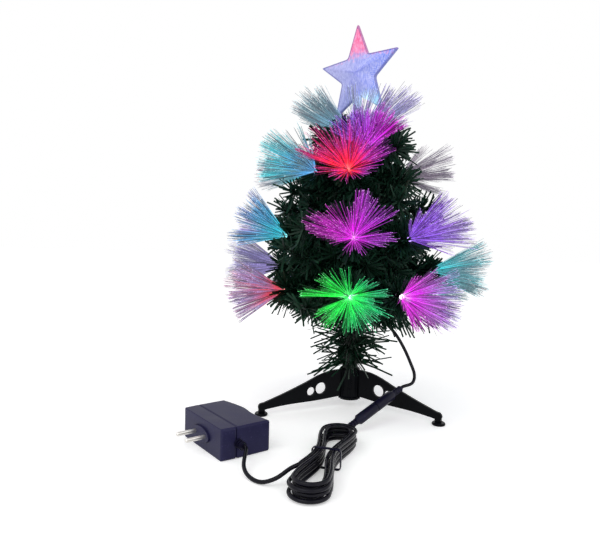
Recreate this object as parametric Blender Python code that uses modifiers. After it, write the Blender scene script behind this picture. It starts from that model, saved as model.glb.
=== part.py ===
"""A small fibre-optic table tree with a star, its low-voltage lead and its plug-in supply.

Every piece is one object of its own, in metres, with +Z up. The origin is on the floor
under the trunk, and the tree faces -Y. A three-legged stand carries the trunk. Nineteen
wired branches hang on the trunk by ball ends, and each carries a cup of bonded fibres.
The star sits on a holder at the tip. A lead leaves the trunk for an in-line connector,
and a cord, most of it tied in a hank, runs on to the supply.
"""

import math

import bmesh
import bpy
import numpy as np
from mathutils import Matrix, Vector

MM = 0.001
HALF_TURN = 180.0
FULL_TURN = 360.0

# Clearances
CLEARANCE = 0.3 * MM
CUT_OVERRUN = 1.0 * MM
MERGE_DISTANCE = 0.01 * MM

# Stand socket, and the pole that stands in it
POLE_RADIUS = 4.1 * MM
SOCKET_BORE_RADIUS = POLE_RADIUS + CLEARANCE
SOCKET_WALL = 7.3 * MM
SOCKET_RADIUS = SOCKET_BORE_RADIUS + SOCKET_WALL
SOCKET_BOTTOM = 8.6 * MM
SOCKET_TOP = 45.0 * MM
SOCKET_FLOOR = 4.4 * MM
SOCKET_RING_PROUD = 1.3 * MM
SOCKET_RING_RADIUS = SOCKET_RADIUS + SOCKET_RING_PROUD
SOCKET_RING_HEIGHT = 2.6 * MM
SOCKET_LIP = 1.0 * MM
SOCKET_RIB_RADIUS = 0.9 * MM
SOCKET_RIB_COUNT = 12
SOCKET_STEPS = 36

# Legs, as distances from the trunk axis and heights
LEG_AZIMUTHS = {"leg_front_left": -150.0, "leg_front_right": -30.0, "leg_back": 90.0}
LEG_THICKNESS = 3.0 * MM
LEG_ROOT_GAP = 0.6 * MM
LEG_ROOT = SOCKET_RADIUS + LEG_ROOT_GAP
LEG_END = 108.0 * MM
LEG_ROOT_DROP = 1.4 * MM
LEG_END_HEIGHT = 13.9 * MM
LEG_TOE_HEIGHT = 6.5 * MM
LEG_TOP_SHARES = ((0.0, 1.0), (0.154, 0.966), (0.31, 0.825), (0.457, 0.623), (0.739, 0.279), (1.0, 0.0))
LEG_UNDERSIDE_SHARES = ((0.958, 0.0), (0.707, 0.386), (0.31, 0.596), (0.014, 1.0))
LEG_TIP_RADIUS = 4.7 * MM
LEG_TIP_ANGLES = (60.0, 30.0, 0.0, -30.0, -60.0)
LEG_EDGE_STEP = 9.4 * MM
LEG_LARGE_HOLE_RADIUS = 6.75 * MM
LEG_SMALL_HOLE_RADIUS = 4.9 * MM
LEG_HOLE_ALONG_SHARES = (0.273, 0.405)
LEG_HOLE_HEIGHT_SHARE = 0.455
LEG_HOLE_POINTS = 20
TONGUE_THICKNESS = 2.0 * MM
TONGUE_RAISE = 4.0 * MM
TONGUE_DROP = 5.0 * MM
TONGUE_BOTTOM = SOCKET_BOTTOM + TONGUE_RAISE
TONGUE_TOP = SOCKET_TOP - TONGUE_DROP
TONGUE_BEAD_RADIUS = 1.7 * MM
TONGUE_BEAD_AT = SOCKET_BORE_RADIUS + SOCKET_WALL / 2
FOOT_BEYOND_LEG = 3.0 * MM
FOOT_AT = LEG_END + FOOT_BEYOND_LEG
FOOT_RADIUS = 7.2 * MM
FOOT_THICKNESS = 3.0 * MM
FOOT_BEVEL = 0.8 * MM
FOOT_STEM_SIZE = (8.0 * MM, 3.0 * MM)
FOOT_STEM_TOP = 8.0 * MM
FOOT_STEM_SETBACK = 1.0 * MM
LEG_TIP_SETBACK = 1.0 * MM

# Trunk, wrapped above the socket and bare at its tip
TRUNK_BOTTOM = SOCKET_BOTTOM + SOCKET_FLOOR + CLEARANCE
TRUNK_SHOULDER = SOCKET_TOP + CLEARANCE
TRUNK_BASE_RADIUS = 9.6 * MM
TRUNK_BASE_BEVEL = 1.2 * MM
TRUNK_TIP_RADIUS = 3.4 * MM
TRUNK_TIP_LENGTH = 54.0 * MM
TRUNK_BARE_LENGTH = 36.0 * MM
TRUNK_STEPS = 18
COLLAR_RISE = 1.1 * MM
COLLAR_HALF_HEIGHT = 3.4 * MM
COLLAR_SLOPE = 1.6 * MM
TRUNK_NEEDLE_BANDS = 4
TRUNK_NEEDLE_SPACING = 10.8 * MM
TRUNK_NEEDLE_START_SHARE = 1.5
TRUNK_NEEDLE_LENGTH = 27.0 * MM
TRUNK_NEEDLE_DROOP = 12.0
TRUNK_NEEDLES_A_BAND = 6

# Branches: ball ends, wire stems with bands of needles, and the tiers from the lowest up.
# A tier's collar is above the one below it; its lamps reach out and rise from the collar.
BALL_RADIUS = 2.4 * MM
BALL_ANGLES = (-72.0, -36.0, 0.0, 36.0)
STEM_RADIUS = 1.5 * MM
STEM_NECK_RADIUS = 1.1 * MM
STEM_TIP_RUN = 8.0 * MM
STEM_BEND_SHARE = 0.55
NEEDLE_BAND_SHARES = (0.42, 0.68)
NEEDLE_BAND_WIDTH = 1.1 * MM
NEEDLE_TIP_WIDTH = 0.45 * MM
NEEDLE_LEAN = 25.0
TIERS = {
    "lower": {"above": 70.7 * MM, "reach": 85.0 * MM, "rise": 22.0 * MM, "fibre": 66.0 * MM,
              "needle": 13.0 * MM, "tilt": 1.0, "side_spread": 40.0, "rise_spread": 27.0},
    "skirt": {"above": 26.0 * MM, "reach": 86.0 * MM, "rise": 20.0 * MM, "fibre": 68.0 * MM,
              "needle": 12.0 * MM, "tilt": 4.0, "side_spread": 36.0, "rise_spread": 25.0},
    "middle": {"above": 31.0 * MM, "reach": 80.0 * MM, "rise": 25.0 * MM, "fibre": 66.0 * MM,
               "needle": 13.0 * MM, "tilt": 20.0, "side_spread": 42.0, "rise_spread": 28.0},
    "upper": {"above": 73.0 * MM, "reach": 56.0 * MM, "rise": 24.0 * MM, "fibre": 66.0 * MM,
              "needle": 8.5 * MM, "tilt": 16.0, "side_spread": 42.0, "rise_spread": 28.0},
    "top": {"above": 36.0 * MM, "reach": 30.0 * MM, "rise": 14.0 * MM, "fibre": 56.0 * MM,
            "needle": 6.0 * MM, "tilt": 38.0, "side_spread": 40.0, "rise_spread": 14.0},
}
TRUNK_TOP = TRUNK_SHOULDER + sum(tier["above"] for tier in TIERS.values()) + TRUNK_TIP_LENGTH
BRANCHES = (
    ("lower", -92.0), ("lower", -53.0), ("lower", 28.0), ("lower", 88.0), ("lower", 127.0),
    ("lower", -152.0), ("skirt", -10.0), ("skirt", 170.0), ("middle", -90.0), ("middle", -44.0),
    ("middle", 54.0), ("middle", 122.0), ("middle", -158.0), ("upper", -98.0), ("upper", 24.0),
    ("upper", 96.0), ("upper", 168.0), ("upper", -140.0), ("top", -72.0),
)

# Fibre cups
CUP_RADIUS = 3.4 * MM
CUP_BORE_RADIUS = 2.0 * MM
CUP_SKIRT = 7.0 * MM
CUP_FLOOR = 0.6 * MM
CUP_SEGMENTS = 8
FIBRE_RINGS = 3
FIBRE_TIP_WIDTH = 0.55 * MM
FIBRE_VARIATION_SHARE = 0.1

# Crown of fibres under the star
CROWN_DROP = 20.0 * MM
CROWN_HEIGHT = TRUNK_TOP - CROWN_DROP
CROWN_RADIUS = 6.8 * MM
CROWN_DEPTH = 7.0 * MM
CROWN_BEVEL = 1.4 * MM
CROWN_STEPS = 16
CROWN_FIBRE = 76.0 * MM
CROWN_TILTS = (31.0, 18.0)
UPRIGHT_SHARE = 0.1

# Star holder and star
HOLDER_RADIUS = 5.2 * MM
HOLDER_OVERLAP = 11.0 * MM
HOLDER_CAP = 6.0 * MM
HOLDER_BOTTOM = TRUNK_TOP - HOLDER_OVERLAP
HOLDER_SHOULDER = TRUNK_TOP + HOLDER_CAP
HOLDER_CONE = 2.6 * MM
HOLDER_PIN_RADIUS = 2.2 * MM
HOLDER_PIN_LENGTH = 30.0 * MM
HOLDER_PIN_TOP = HOLDER_SHOULDER + HOLDER_PIN_LENGTH
HOLDER_STEPS = 20
STAR_RAISE = 12.0 * MM
STAR_CENTRE = HOLDER_PIN_TOP + STAR_RAISE
STAR_RADIUS = 56.0 * MM
STAR_CROTCH_SHARE = 0.46
STAR_BULGE = 6.5 * MM
STAR_RIM = 2.2 * MM
STAR_TURN = -36.0
STAR_ROLL = 2.5
STAR_POINTS = 5
STAR_SHADE_ANGLE = 10.0
BOSS_RADIUS = 4.4 * MM
BOSS_CAP = 12.0 * MM
BOSS_TOP = HOLDER_PIN_TOP + BOSS_CAP

# Cord and connector
CORD_RADIUS = 1.8 * MM
CORD_POINT_SPACING = 9.0 * MM
CONNECTOR_START = Vector((56.3, -41.5, 34.0)) * MM
CONNECTOR_END = Vector((-0.7, -99.5, 6.5)) * MM
CONNECTOR_RADIUS = 5.4 * MM
CONNECTOR_BEVEL = 0.9 * MM
BOOT_RADIUS = 2.7 * MM
BOOT_RIB_RADIUS = 3.5 * MM
BOOT_RIBS = 4
BOOT_RIB_SHARES = (0.25, 0.6, 0.8)
BOOT_LENGTH = 14.0 * MM
BOOT_SHOULDER = 3.0 * MM
BARREL_RADIUS = 2.75 * MM
BARREL_BORE_RADIUS = 1.4 * MM
BARREL_LENGTH = 9.5 * MM
CENTRE_PIN_RADIUS = 1.0 * MM
CENTRE_PIN_SETBACK = 1.0 * MM
CONNECTOR_STEPS = 14

# Routes of the free cords, chosen by hand, in world millimetres
LEAD_EXIT_DROP = 8.0 * MM
LEAD_EXIT_AZIMUTH = -24.0
LEAD_ROUTE = ((24.0, -11.2, 108.4), (37.0, -16.5, 102.5), (49.0, -20.5, 91.5), (59.0, -23.5, 76.5),
              (67.0, -25.0, 60.0), (72.0, -27.5, 46.5), (69.5, -32.0, 37.8))
PLUG_CORD_ROUTE = ((-7.6, -107.6, 4.2),)
SUPPLY_CORD_ROUTE = ((-45.3, -219.5, 13.6), (-56.0, -224.4, 7.0), (-68.0, -222.8, 2.4),
                     (-79.0, -215.0, 2.4), (-86.0, -204.0, 6.5))

# Hank: one tube in four layers, drawn in at the waist
HANK_CENTRE_ACROSS = -18.0 * MM
HANK_CENTRE_BACK = -184.0 * MM
HANK_CENTRE = Vector((HANK_CENTRE_ACROSS, HANK_CENTRE_BACK))
HANK_AZIMUTH = -101.0
HANK_RUN_HALF_LENGTH = 52.5 * MM
HANK_EYE_RADIUS = 10.4 * MM
HANK_WAIST_GAP = 1.4 * MM
HANK_LOBE_TURN_GAP = 0.7 * MM
HANK_WAIST_TURN_GAP = 1.0 * MM
HANK_LAYER_GAP = 0.55 * MM
HANK_STEP = 2 * CORD_RADIUS + HANK_LOBE_TURN_GAP
HANK_WAIST_STEP = 2 * CORD_RADIUS + HANK_WAIST_TURN_GAP
HANK_LAYER_RISE = 2 * CORD_RADIUS + HANK_LAYER_GAP
HANK_LOBE_ANGLE = 60.0
HANK_TURN_ANGLES = (210.0, 810.0, 1350.0, 1890.0, 2445.0)
HANK_POINTS_A_LOOP = 24
HANK_LOOPS_INWARD = (HANK_TURN_ANGLES[1] - HANK_TURN_ANGLES[0]) / FULL_TURN
HANK_LOBE_RADIUS = HANK_EYE_RADIUS + HANK_STEP * HANK_LOOPS_INWARD
HANK_WAIST_HALF_WIDTH = HANK_WAIST_GAP / 2 + CORD_RADIUS + HANK_WAIST_STEP * HANK_LOOPS_INWARD

# Tie round the waist of the hank
TIE_THICKNESS = 0.9 * MM
TIE_WIDTH = 3.2 * MM
TIE_CORNER = 2.0 * MM
TIE_CORNER_POINTS = 4
HANK_FLOOR_HEIGHT = CORD_RADIUS + TIE_THICKNESS + CLEARANCE

# Supply, lying on its side: length, depth out from the wall face, and width standing up
SUPPLY_CORNER_ACROSS = -109.0 * MM
SUPPLY_CORNER_BACK = -186.0 * MM
SUPPLY_CORNER = Vector((SUPPLY_CORNER_ACROSS, SUPPLY_CORNER_BACK))
SUPPLY_AZIMUTH = 42.0
SUPPLY_LENGTH = 78.0 * MM
SUPPLY_DEPTH = 50.0 * MM
SUPPLY_WIDTH = 29.0 * MM
SUPPLY_BASE_DEPTH = 15.0 * MM
SUPPLY_BASE_DRAFT = 1.2 * MM
SUPPLY_BEVEL = 1.8 * MM
SUPPLY_FACE_STEP = 6.5 * MM
SUPPLY_FACE_SHARES = ((1.0, 0.88), (0.8, 0.95), (0.58, 0.99), (0.4, 0.952), (0.25, 0.955), (0.0, 1.0))
PIN_RADIUS = 2.0 * MM
PIN_LENGTH = 19.0 * MM
PIN_SPACING = 19.0 * MM
PIN_CARRIER_THICKNESS = 3.0 * MM
PIN_CARRIER_RADIUS = 7.0 * MM
PIN_CARRIER_STRETCH_SHARE = 2.3
PIN_CARRIER_SINK = 1.4 * MM
PIN_NOSE_SHARE = 0.55
PIN_STEPS = 16
GLAND_AT = 16.0 * MM
GLAND_RADIUS = 4.2 * MM
GLAND_TIP_RADIUS = 2.9 * MM
GLAND_LENGTH = 10.0 * MM
GLAND_RIBS = 3
GLAND_RIB_RADIUS = 3.9 * MM

PARTS = bpy.data.collections.new("fibre_optic_tree")
GUIDES = bpy.data.collections.new("cutters_and_guides")


def clear_scene():
    """Remove the objects of the open scene and link the two collections of this model."""
    for item in list(bpy.data.objects):
        bpy.data.objects.remove(item, do_unlink=True)
    for collection in (PARTS, GUIDES):
        bpy.context.scene.collection.children.link(collection)


def material(name, colour, roughness, metallic=0.0, transmission=0.0):
    """Return a Principled material of the given name, making it on first use."""
    found = bpy.data.materials.get(name)
    if found is not None:
        return found
    made = bpy.data.materials.new(name)
    made.use_nodes = True
    shader = made.node_tree.nodes["Principled BSDF"]
    shader.inputs["Base Color"].default_value = (*colour, 1.0)
    shader.inputs["Roughness"].default_value = roughness
    shader.inputs["Metallic"].default_value = metallic
    shader.inputs["Transmission Weight"].default_value = transmission
    made.diffuse_color = (*colour, 1.0)
    return made


def add_part(name, mesh, finish, matrix=None):
    """Put a finished mesh or curve into the model as one named piece."""
    mesh.materials.clear()
    mesh.materials.append(finish)
    piece = bpy.data.objects.new(name, mesh)
    PARTS.objects.link(piece)
    if matrix is not None:
        piece.matrix_world = matrix
    return piece


def add_guide(name, data, matrix=None):
    """Add a shape that only cuts or joins others."""
    guide = bpy.data.objects.new(name, data)
    GUIDES.objects.link(guide)
    guide.hide_render = True
    guide.display_type = "WIRE"
    if matrix is not None:
        guide.matrix_world = matrix
    return guide


def evaluated_mesh(source, name):
    """Return the mesh that an object shows, with its caps welded, and remove the object."""
    depsgraph = bpy.context.evaluated_depsgraph_get()
    mesh = bpy.data.meshes.new_from_object(source.evaluated_get(depsgraph), depsgraph=depsgraph)
    mesh.name = name
    bm = bmesh.new()
    bm.from_mesh(mesh)
    bmesh.ops.remove_doubles(bm, verts=bm.verts, dist=MERGE_DISTANCE)
    bmesh.ops.recalc_face_normals(bm, faces=bm.faces)
    bm.to_mesh(mesh)
    bm.free()
    bpy.data.objects.remove(source, do_unlink=True)
    return mesh


def shade(mesh, angle=35.0):
    """Shade a mesh smooth, except across edges sharper than the angle."""
    mesh.shade_smooth()
    mesh.set_sharp_from_angle(angle=math.radians(angle))
    return mesh


def boolean(piece, other, operation):
    """Cut or join a piece with another object."""
    modifier = piece.modifiers.new(f"{operation.lower()}_{other.name}", "BOOLEAN")
    modifier.operation = operation
    modifier.solver = "EXACT"
    modifier.object = other
    return modifier


def turned_mesh(name, profile, steps, closed=False):
    """Turn a profile of (radius, height) points, top to bottom outside, about the Z axis."""
    mesh = bpy.data.meshes.new(f"{name}_profile")
    points = [(radius, 0.0, height) for radius, height in profile]
    edges = [(index, index + 1) for index in range(len(points) - 1)]
    if closed:
        edges.append((len(points) - 1, 0))
    mesh.from_pydata(points, edges, [])
    source = bpy.data.objects.new(f"{name}_profile", mesh)
    GUIDES.objects.link(source)
    screw = source.modifiers.new("turn", "SCREW")
    screw.axis = "Z"
    screw.steps = steps
    screw.render_steps = steps
    screw.use_merge_vertices = True
    screw.merge_threshold = MERGE_DISTANCE
    return evaluated_mesh(source, name)


def outline_mesh(name, outlines, half_thickness):
    """Fill flat outlines, the first one outside and the others as holes, and extrude them."""
    curve = bpy.data.curves.new(f"{name}_outline", "CURVE")
    curve.dimensions = "2D"
    curve.fill_mode = "BOTH"
    curve.extrude = half_thickness
    for outline in outlines:
        spline = curve.splines.new("POLY")
        spline.points.add(len(outline) - 1)
        for point, (across, up) in zip(spline.points, outline):
            point.co = (across, up, 0.0, 1.0)
        spline.use_cyclic_u = True
    source = bpy.data.objects.new(f"{name}_outline", curve)
    GUIDES.objects.link(source)
    return evaluated_mesh(source, name)


def tube_curve(name, points, radius, resolution, shares=None):
    """Return a round tube along the points, closed by flat caps."""
    curve = bpy.data.curves.new(name, "CURVE")
    curve.dimensions = "3D"
    curve.bevel_depth = radius
    curve.bevel_resolution = resolution
    curve.use_fill_caps = True
    spline = curve.splines.new("POLY")
    spline.points.add(len(points) - 1)
    for index, place in enumerate(points):
        spline.points[index].co = (*place, 1.0)
        if shares is not None:
            spline.points[index].radius = shares[index]
    return curve


def tube_mesh(name, points, radius, resolution, shares=None):
    """Return the tube along the points as a welded mesh."""
    curve = tube_curve(f"{name}_path", points, radius, resolution, shares)
    source = bpy.data.objects.new(f"{name}_path", curve)
    GUIDES.objects.link(source)
    return evaluated_mesh(source, name)


def smooth_through(places, spacing):
    """Return points about one spacing apart on a smooth curve through the given places."""
    knots = [Vector(place) for place in places]
    first = knots[0] * 2 - knots[1]
    last = knots[-1] * 2 - knots[-2]
    padded = [first, *knots, last]
    points = [knots[0]]
    for before, start, end, after in zip(padded, padded[1:], padded[2:], padded[3:]):
        count = max(1, round((end - start).length / spacing))
        for step in range(1, count + 1):
            share = step / count
            leaving = (end - before) / 2
            arriving = (after - start) / 2
            blend = 3 * share ** 2 - 2 * share ** 3
            swing = leaving * (share ** 3 - 2 * share ** 2 + share) + arriving * (share ** 3 - share ** 2)
            points.append(start * (1 - blend) + end * blend + swing)
    return points


def direction(azimuth, elevation=0.0):
    """Return the unit vector of an azimuth and an elevation in degrees."""
    turn, lift = math.radians(azimuth), math.radians(elevation)
    return Vector((math.cos(lift) * math.cos(turn), math.cos(lift) * math.sin(turn), math.sin(lift)))


def axis_matrix(origin, axis, up=Vector((0.0, 0.0, 1.0))):
    """Return the frame with +Z along the axis, +X level and +Y as near to up as it can be."""
    along = axis.normalized()
    across = up.cross(along).normalized()
    upward = along.cross(across)
    turn = Matrix((across, upward, along)).transposed().to_4x4()
    return Matrix.Translation(origin) @ turn


def grow_strands(bm, faces, headings, lengths, tip_width):
    """Draw each face out into a tapered strand with its own heading and length."""
    starts = [(face.calc_center_median(), max((v.co - face.calc_center_median()).length for v in face.verts))
              for face in faces]
    grown = bmesh.ops.extrude_discrete_faces(bm, faces=faces)["faces"]
    for face, (start, reach), heading, length in zip(grown, starts, headings, lengths):
        shrink = tip_width / (2 * reach)
        for vertex in face.verts:
            vertex.co = start + heading * length + (vertex.co - start) * shrink


def socket_mesh():
    """Return the turned socket that takes the pole, before its ribs and slots."""
    profile = (
        (SOCKET_BORE_RADIUS, SOCKET_BOTTOM + SOCKET_FLOOR),
        (SOCKET_BORE_RADIUS, SOCKET_TOP),
        (SOCKET_RADIUS - SOCKET_LIP, SOCKET_TOP),
        (SOCKET_RADIUS, SOCKET_TOP - SOCKET_LIP),
        (SOCKET_RADIUS, SOCKET_BOTTOM + SOCKET_RING_HEIGHT + SOCKET_LIP),
        (SOCKET_RING_RADIUS, SOCKET_BOTTOM + SOCKET_RING_HEIGHT),
        (SOCKET_RING_RADIUS, SOCKET_BOTTOM),
        (0.0, SOCKET_BOTTOM),
    )
    return turned_mesh("stand_socket", ((0.0, SOCKET_BOTTOM + SOCKET_FLOOR), *profile), SOCKET_STEPS)


def cylinder_guide(name, radius, bottom, top, centre=(0.0, 0.0), segments=12):
    """Add a guide cylinder that stands between two heights."""
    bm = bmesh.new()
    bmesh.ops.create_cone(bm, cap_ends=True, segments=segments, radius1=radius, radius2=radius,
                          depth=top - bottom)
    bmesh.ops.translate(bm, verts=bm.verts, vec=(*centre, (top + bottom) / 2))
    mesh = bpy.data.meshes.new(name)
    bm.to_mesh(mesh)
    bm.free()
    return add_guide(name, mesh)


def box_guide(name, low, high):
    """Add a guide box between two corners."""
    bm = bmesh.new()
    size = Vector(high) - Vector(low)
    bmesh.ops.create_cube(bm, size=1.0)
    bmesh.ops.scale(bm, verts=bm.verts, vec=size)
    bmesh.ops.translate(bm, verts=bm.verts, vec=(Vector(low) + Vector(high)) / 2)
    mesh = bpy.data.meshes.new(name)
    bm.to_mesh(mesh)
    bm.free()
    return add_guide(name, mesh)


def make_socket(finish):
    """Make the socket: bore, vertical ribs between the legs and a keyhole slot for each leg."""
    socket = add_part("stand_socket", shade(socket_mesh()), finish)
    rib_bottom = SOCKET_BOTTOM + SOCKET_RING_HEIGHT / 2
    rib_top = SOCKET_TOP - 2 * SOCKET_LIP
    for index in range(SOCKET_RIB_COUNT):
        azimuth = (index + 0.5) * FULL_TURN / SOCKET_RIB_COUNT - 90.0
        centre = direction(azimuth) * SOCKET_RADIUS
        rib = cylinder_guide(f"socket_rib_{index:02d}", SOCKET_RIB_RADIUS, rib_bottom, rib_top, centre.xy, 6)
        boolean(socket, rib, "UNION")
    for name, azimuth in LEG_AZIMUTHS.items():
        turn = Matrix.Rotation(math.radians(azimuth), 4, "Z")
        slot_top = TONGUE_TOP + CLEARANCE
        half_slot = TONGUE_THICKNESS / 2 + CLEARANCE
        slot_bottom = SOCKET_BOTTOM - CUT_OVERRUN
        slot = box_guide(f"{name}_slot", (TONGUE_BEAD_AT, -half_slot, slot_bottom),
                         (SOCKET_RING_RADIUS + CUT_OVERRUN, half_slot, slot_top))
        keyhole = cylinder_guide(f"{name}_keyhole", TONGUE_BEAD_RADIUS + CLEARANCE, slot_bottom, slot_top,
                                 (TONGUE_BEAD_AT, 0.0))
        for cutter in (slot, keyhole):
            cutter.matrix_world = turn @ cutter.matrix_world
            boolean(socket, cutter, "DIFFERENCE")
    return socket


def leg_edges():
    """Return the places along a leg's top edge and underside, root and toe included."""
    root_height = SOCKET_TOP - LEG_ROOT_DROP
    heel_height = SOCKET_BOTTOM + SOCKET_RING_HEIGHT + SOCKET_LIP
    run = LEG_END - LEG_ROOT
    top = [(LEG_ROOT + run * out, LEG_END_HEIGHT + (root_height - LEG_END_HEIGHT) * up)
           for out, up in LEG_TOP_SHARES]
    under = [(LEG_ROOT + run * out, LEG_TOE_HEIGHT + (heel_height - LEG_TOE_HEIGHT) * up)
             for out, up in LEG_UNDERSIDE_SHARES]
    return top, under


def smooth_edge(places, step):
    """Return the flat points of a smooth edge through the places."""
    return [(point.x, point.y) for point in smooth_through([(*place, 0.0) for place in places], step)]


def leg_outline():
    """Return the leg's outline: a smooth top edge, a round tip and a smooth underside."""
    top, under = leg_edges()
    centre_out, centre_up = FOOT_AT - LEG_TIP_SETBACK, LEG_END_HEIGHT - LEG_TIP_RADIUS
    tip = [(centre_out + LEG_TIP_RADIUS * math.cos(angle), centre_up + LEG_TIP_RADIUS * math.sin(angle))
           for angle in np.radians(LEG_TIP_ANGLES)]
    return smooth_edge(top, LEG_EDGE_STEP) + tip + smooth_edge(under, LEG_EDGE_STEP)


def leg_holes():
    """Return the outlines of the leg's two round holes, centred between its edges."""
    top, under = leg_edges()
    outlines = []
    for share, radius in zip(LEG_HOLE_ALONG_SHARES, (LEG_LARGE_HOLE_RADIUS, LEG_SMALL_HOLE_RADIUS)):
        out = LEG_ROOT + (LEG_END - LEG_ROOT) * share
        ceiling = np.interp(out, *zip(*top))
        floor = np.interp(out, *zip(*reversed(under)))
        outlines.append(circle_points((out, floor + (ceiling - floor) * LEG_HOLE_HEIGHT_SHARE), radius,
                                      LEG_HOLE_POINTS))
    return outlines


def circle_points(centre, radius, count):
    """Return points round a flat circle."""
    angles = [FULL_TURN * index / count for index in range(count)]
    return [(centre[0] + radius * math.cos(math.radians(a)), centre[1] + radius * math.sin(math.radians(a)))
            for a in angles]


def leg_mesh():
    """Return one leg: holed plate, tongue with its bead, and foot on a short stem."""
    plate = outline_mesh("leg_plate", [leg_outline(), *leg_holes()], LEG_THICKNESS / 2)
    leg = bpy.data.objects.new("leg_form", plate)
    GUIDES.objects.link(leg)
    plate.transform(Matrix.Rotation(math.radians(90.0), 4, "X"))
    half_tongue = TONGUE_THICKNESS / 2
    tongue = box_guide("leg_tongue", (TONGUE_BEAD_AT, -half_tongue, TONGUE_BOTTOM),
                       (LEG_ROOT + LEG_THICKNESS, half_tongue, TONGUE_TOP))
    bead = cylinder_guide("leg_bead", TONGUE_BEAD_RADIUS, TONGUE_BOTTOM, TONGUE_TOP, (TONGUE_BEAD_AT, 0.0))
    stem_long, stem_wide = FOOT_STEM_SIZE
    stem = box_guide("leg_stem", (FOOT_AT - stem_long / 2, -stem_wide / 2, FOOT_THICKNESS / 2),
                     (FOOT_AT + stem_long / 2 - FOOT_STEM_SETBACK, stem_wide / 2, FOOT_STEM_TOP))
    foot = cylinder_guide("leg_foot", FOOT_RADIUS, 0.0, FOOT_THICKNESS, (FOOT_AT, 0.0), 24)
    bevel = foot.modifiers.new("edge", "BEVEL")
    bevel.width = FOOT_BEVEL
    bevel.segments = 1
    bevel.limit_method = "ANGLE"
    for form in (bead, tongue, stem, foot):
        boolean(leg, form, "UNION")
    return shade(evaluated_mesh(leg, "leg"))


def make_legs(finish):
    """Make the three like legs, each slid up into its slot of the socket."""
    mesh = leg_mesh()
    for name, azimuth in LEG_AZIMUTHS.items():
        add_part(name, mesh, finish, Matrix.Rotation(math.radians(azimuth), 4, "Z"))


def trunk_radius(height):
    """Return the radius of the wrapped trunk at a height, without its collars."""
    taper_top = TRUNK_TOP - TRUNK_BARE_LENGTH
    share = min(1.0, max(0.0, (height - TRUNK_SHOULDER) / (taper_top - TRUNK_SHOULDER)))
    return TRUNK_BASE_RADIUS + (TRUNK_TIP_RADIUS - TRUNK_BASE_RADIUS) * share


def collar_heights():
    """Return the height of each tier's collar on the trunk, by the tier's name."""
    heights, height = {}, TRUNK_SHOULDER
    for name, tier in TIERS.items():
        height += tier["above"]
        heights[name] = height
    return heights


def trunk_needle_heights():
    """Return the heights of the bands of needles under the lowest tier."""
    first = TRUNK_SHOULDER + TRUNK_NEEDLE_SPACING * TRUNK_NEEDLE_START_SHARE
    return [first + TRUNK_NEEDLE_SPACING * band for band in range(TRUNK_NEEDLE_BANDS)]


def trunk_profile():
    """Return the trunk's profile from its tip down to the end of its pole."""
    points = [(0.0, TRUNK_TOP), (TRUNK_TIP_RADIUS, TRUNK_TOP)]
    rings = [(TRUNK_TIP_RADIUS, TRUNK_TOP - TRUNK_BARE_LENGTH)]
    for height in collar_heights().values():
        outer = trunk_radius(height) + COLLAR_RISE
        reach = COLLAR_HALF_HEIGHT + COLLAR_SLOPE
        rings += [(trunk_radius(height + reach), height + reach), (outer, height + COLLAR_HALF_HEIGHT),
                  (outer, height - COLLAR_HALF_HEIGHT), (trunk_radius(height - reach), height - reach)]
    for height in trunk_needle_heights():
        for side in (1, -1):
            level = height + side * NEEDLE_BAND_WIDTH / 2
            rings.append((trunk_radius(level), level))
    points += sorted(rings, key=lambda point: -point[1])
    points += [
        (TRUNK_BASE_RADIUS, TRUNK_SHOULDER + TRUNK_BASE_BEVEL),
        (TRUNK_BASE_RADIUS - TRUNK_BASE_BEVEL, TRUNK_SHOULDER),
        (POLE_RADIUS, TRUNK_SHOULDER),
        (POLE_RADIUS, TRUNK_BOTTOM),
        (0.0, TRUNK_BOTTOM),
    ]
    return points


def make_trunk(finish):
    """Make the trunk, with its pole, its collars and the needles of its lower wrap."""
    mesh = turned_mesh("trunk", trunk_profile(), TRUNK_STEPS)
    bm = bmesh.new()
    bm.from_mesh(mesh)
    spacing = TRUNK_STEPS // TRUNK_NEEDLES_A_BAND
    chosen, headings = [], []
    for band, height in enumerate(trunk_needle_heights()):
        for face in bm.faces:
            centre = face.calc_center_median()
            azimuth = math.degrees(math.atan2(centre.y, centre.x)) % FULL_TURN
            segment = int(azimuth / (FULL_TURN / TRUNK_STEPS))
            if abs(centre.z - height) < NEEDLE_BAND_WIDTH / 4 and segment % spacing == band % spacing:
                chosen.append(face)
                headings.append(direction(azimuth, -TRUNK_NEEDLE_DROOP))
    grow_strands(bm, chosen, headings, [TRUNK_NEEDLE_LENGTH] * len(chosen), NEEDLE_TIP_WIDTH)
    bm.to_mesh(mesh)
    bm.free()
    return add_part("trunk", shade(mesh), finish)


def hinge_reach(tier_name):
    """Return how far from the trunk's axis a tier's branches hinge: a ball's radius off the collar."""
    return trunk_radius(collar_heights()[tier_name]) + COLLAR_RISE + CLEARANCE + BALL_RADIUS


def branch_path(tier_name):
    """Return a branch's bend, straight tip and heading in its own frame: +X out and +Z up."""
    tier = TIERS[tier_name]
    end = Vector((tier["reach"] - hinge_reach(tier_name), 0.0, tier["rise"]))
    heading = direction(0.0, tier["tilt"])
    run_start = end - heading * STEM_TIP_RUN
    bend = run_start - heading * run_start.length * STEM_BEND_SHARE
    return bend, run_start, end, heading


def bent_point(bend, run_start, share):
    """Return the point of a branch's bend at a share of the way to its straight tip."""
    return bend * (2 * share * (1 - share)) + run_start * share ** 2


def bent_heading(bend, run_start, share):
    """Return the heading of a branch's bend at a share of the way."""
    return (bend * (2 - 4 * share) + run_start * (2 * share)).normalized()


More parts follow.
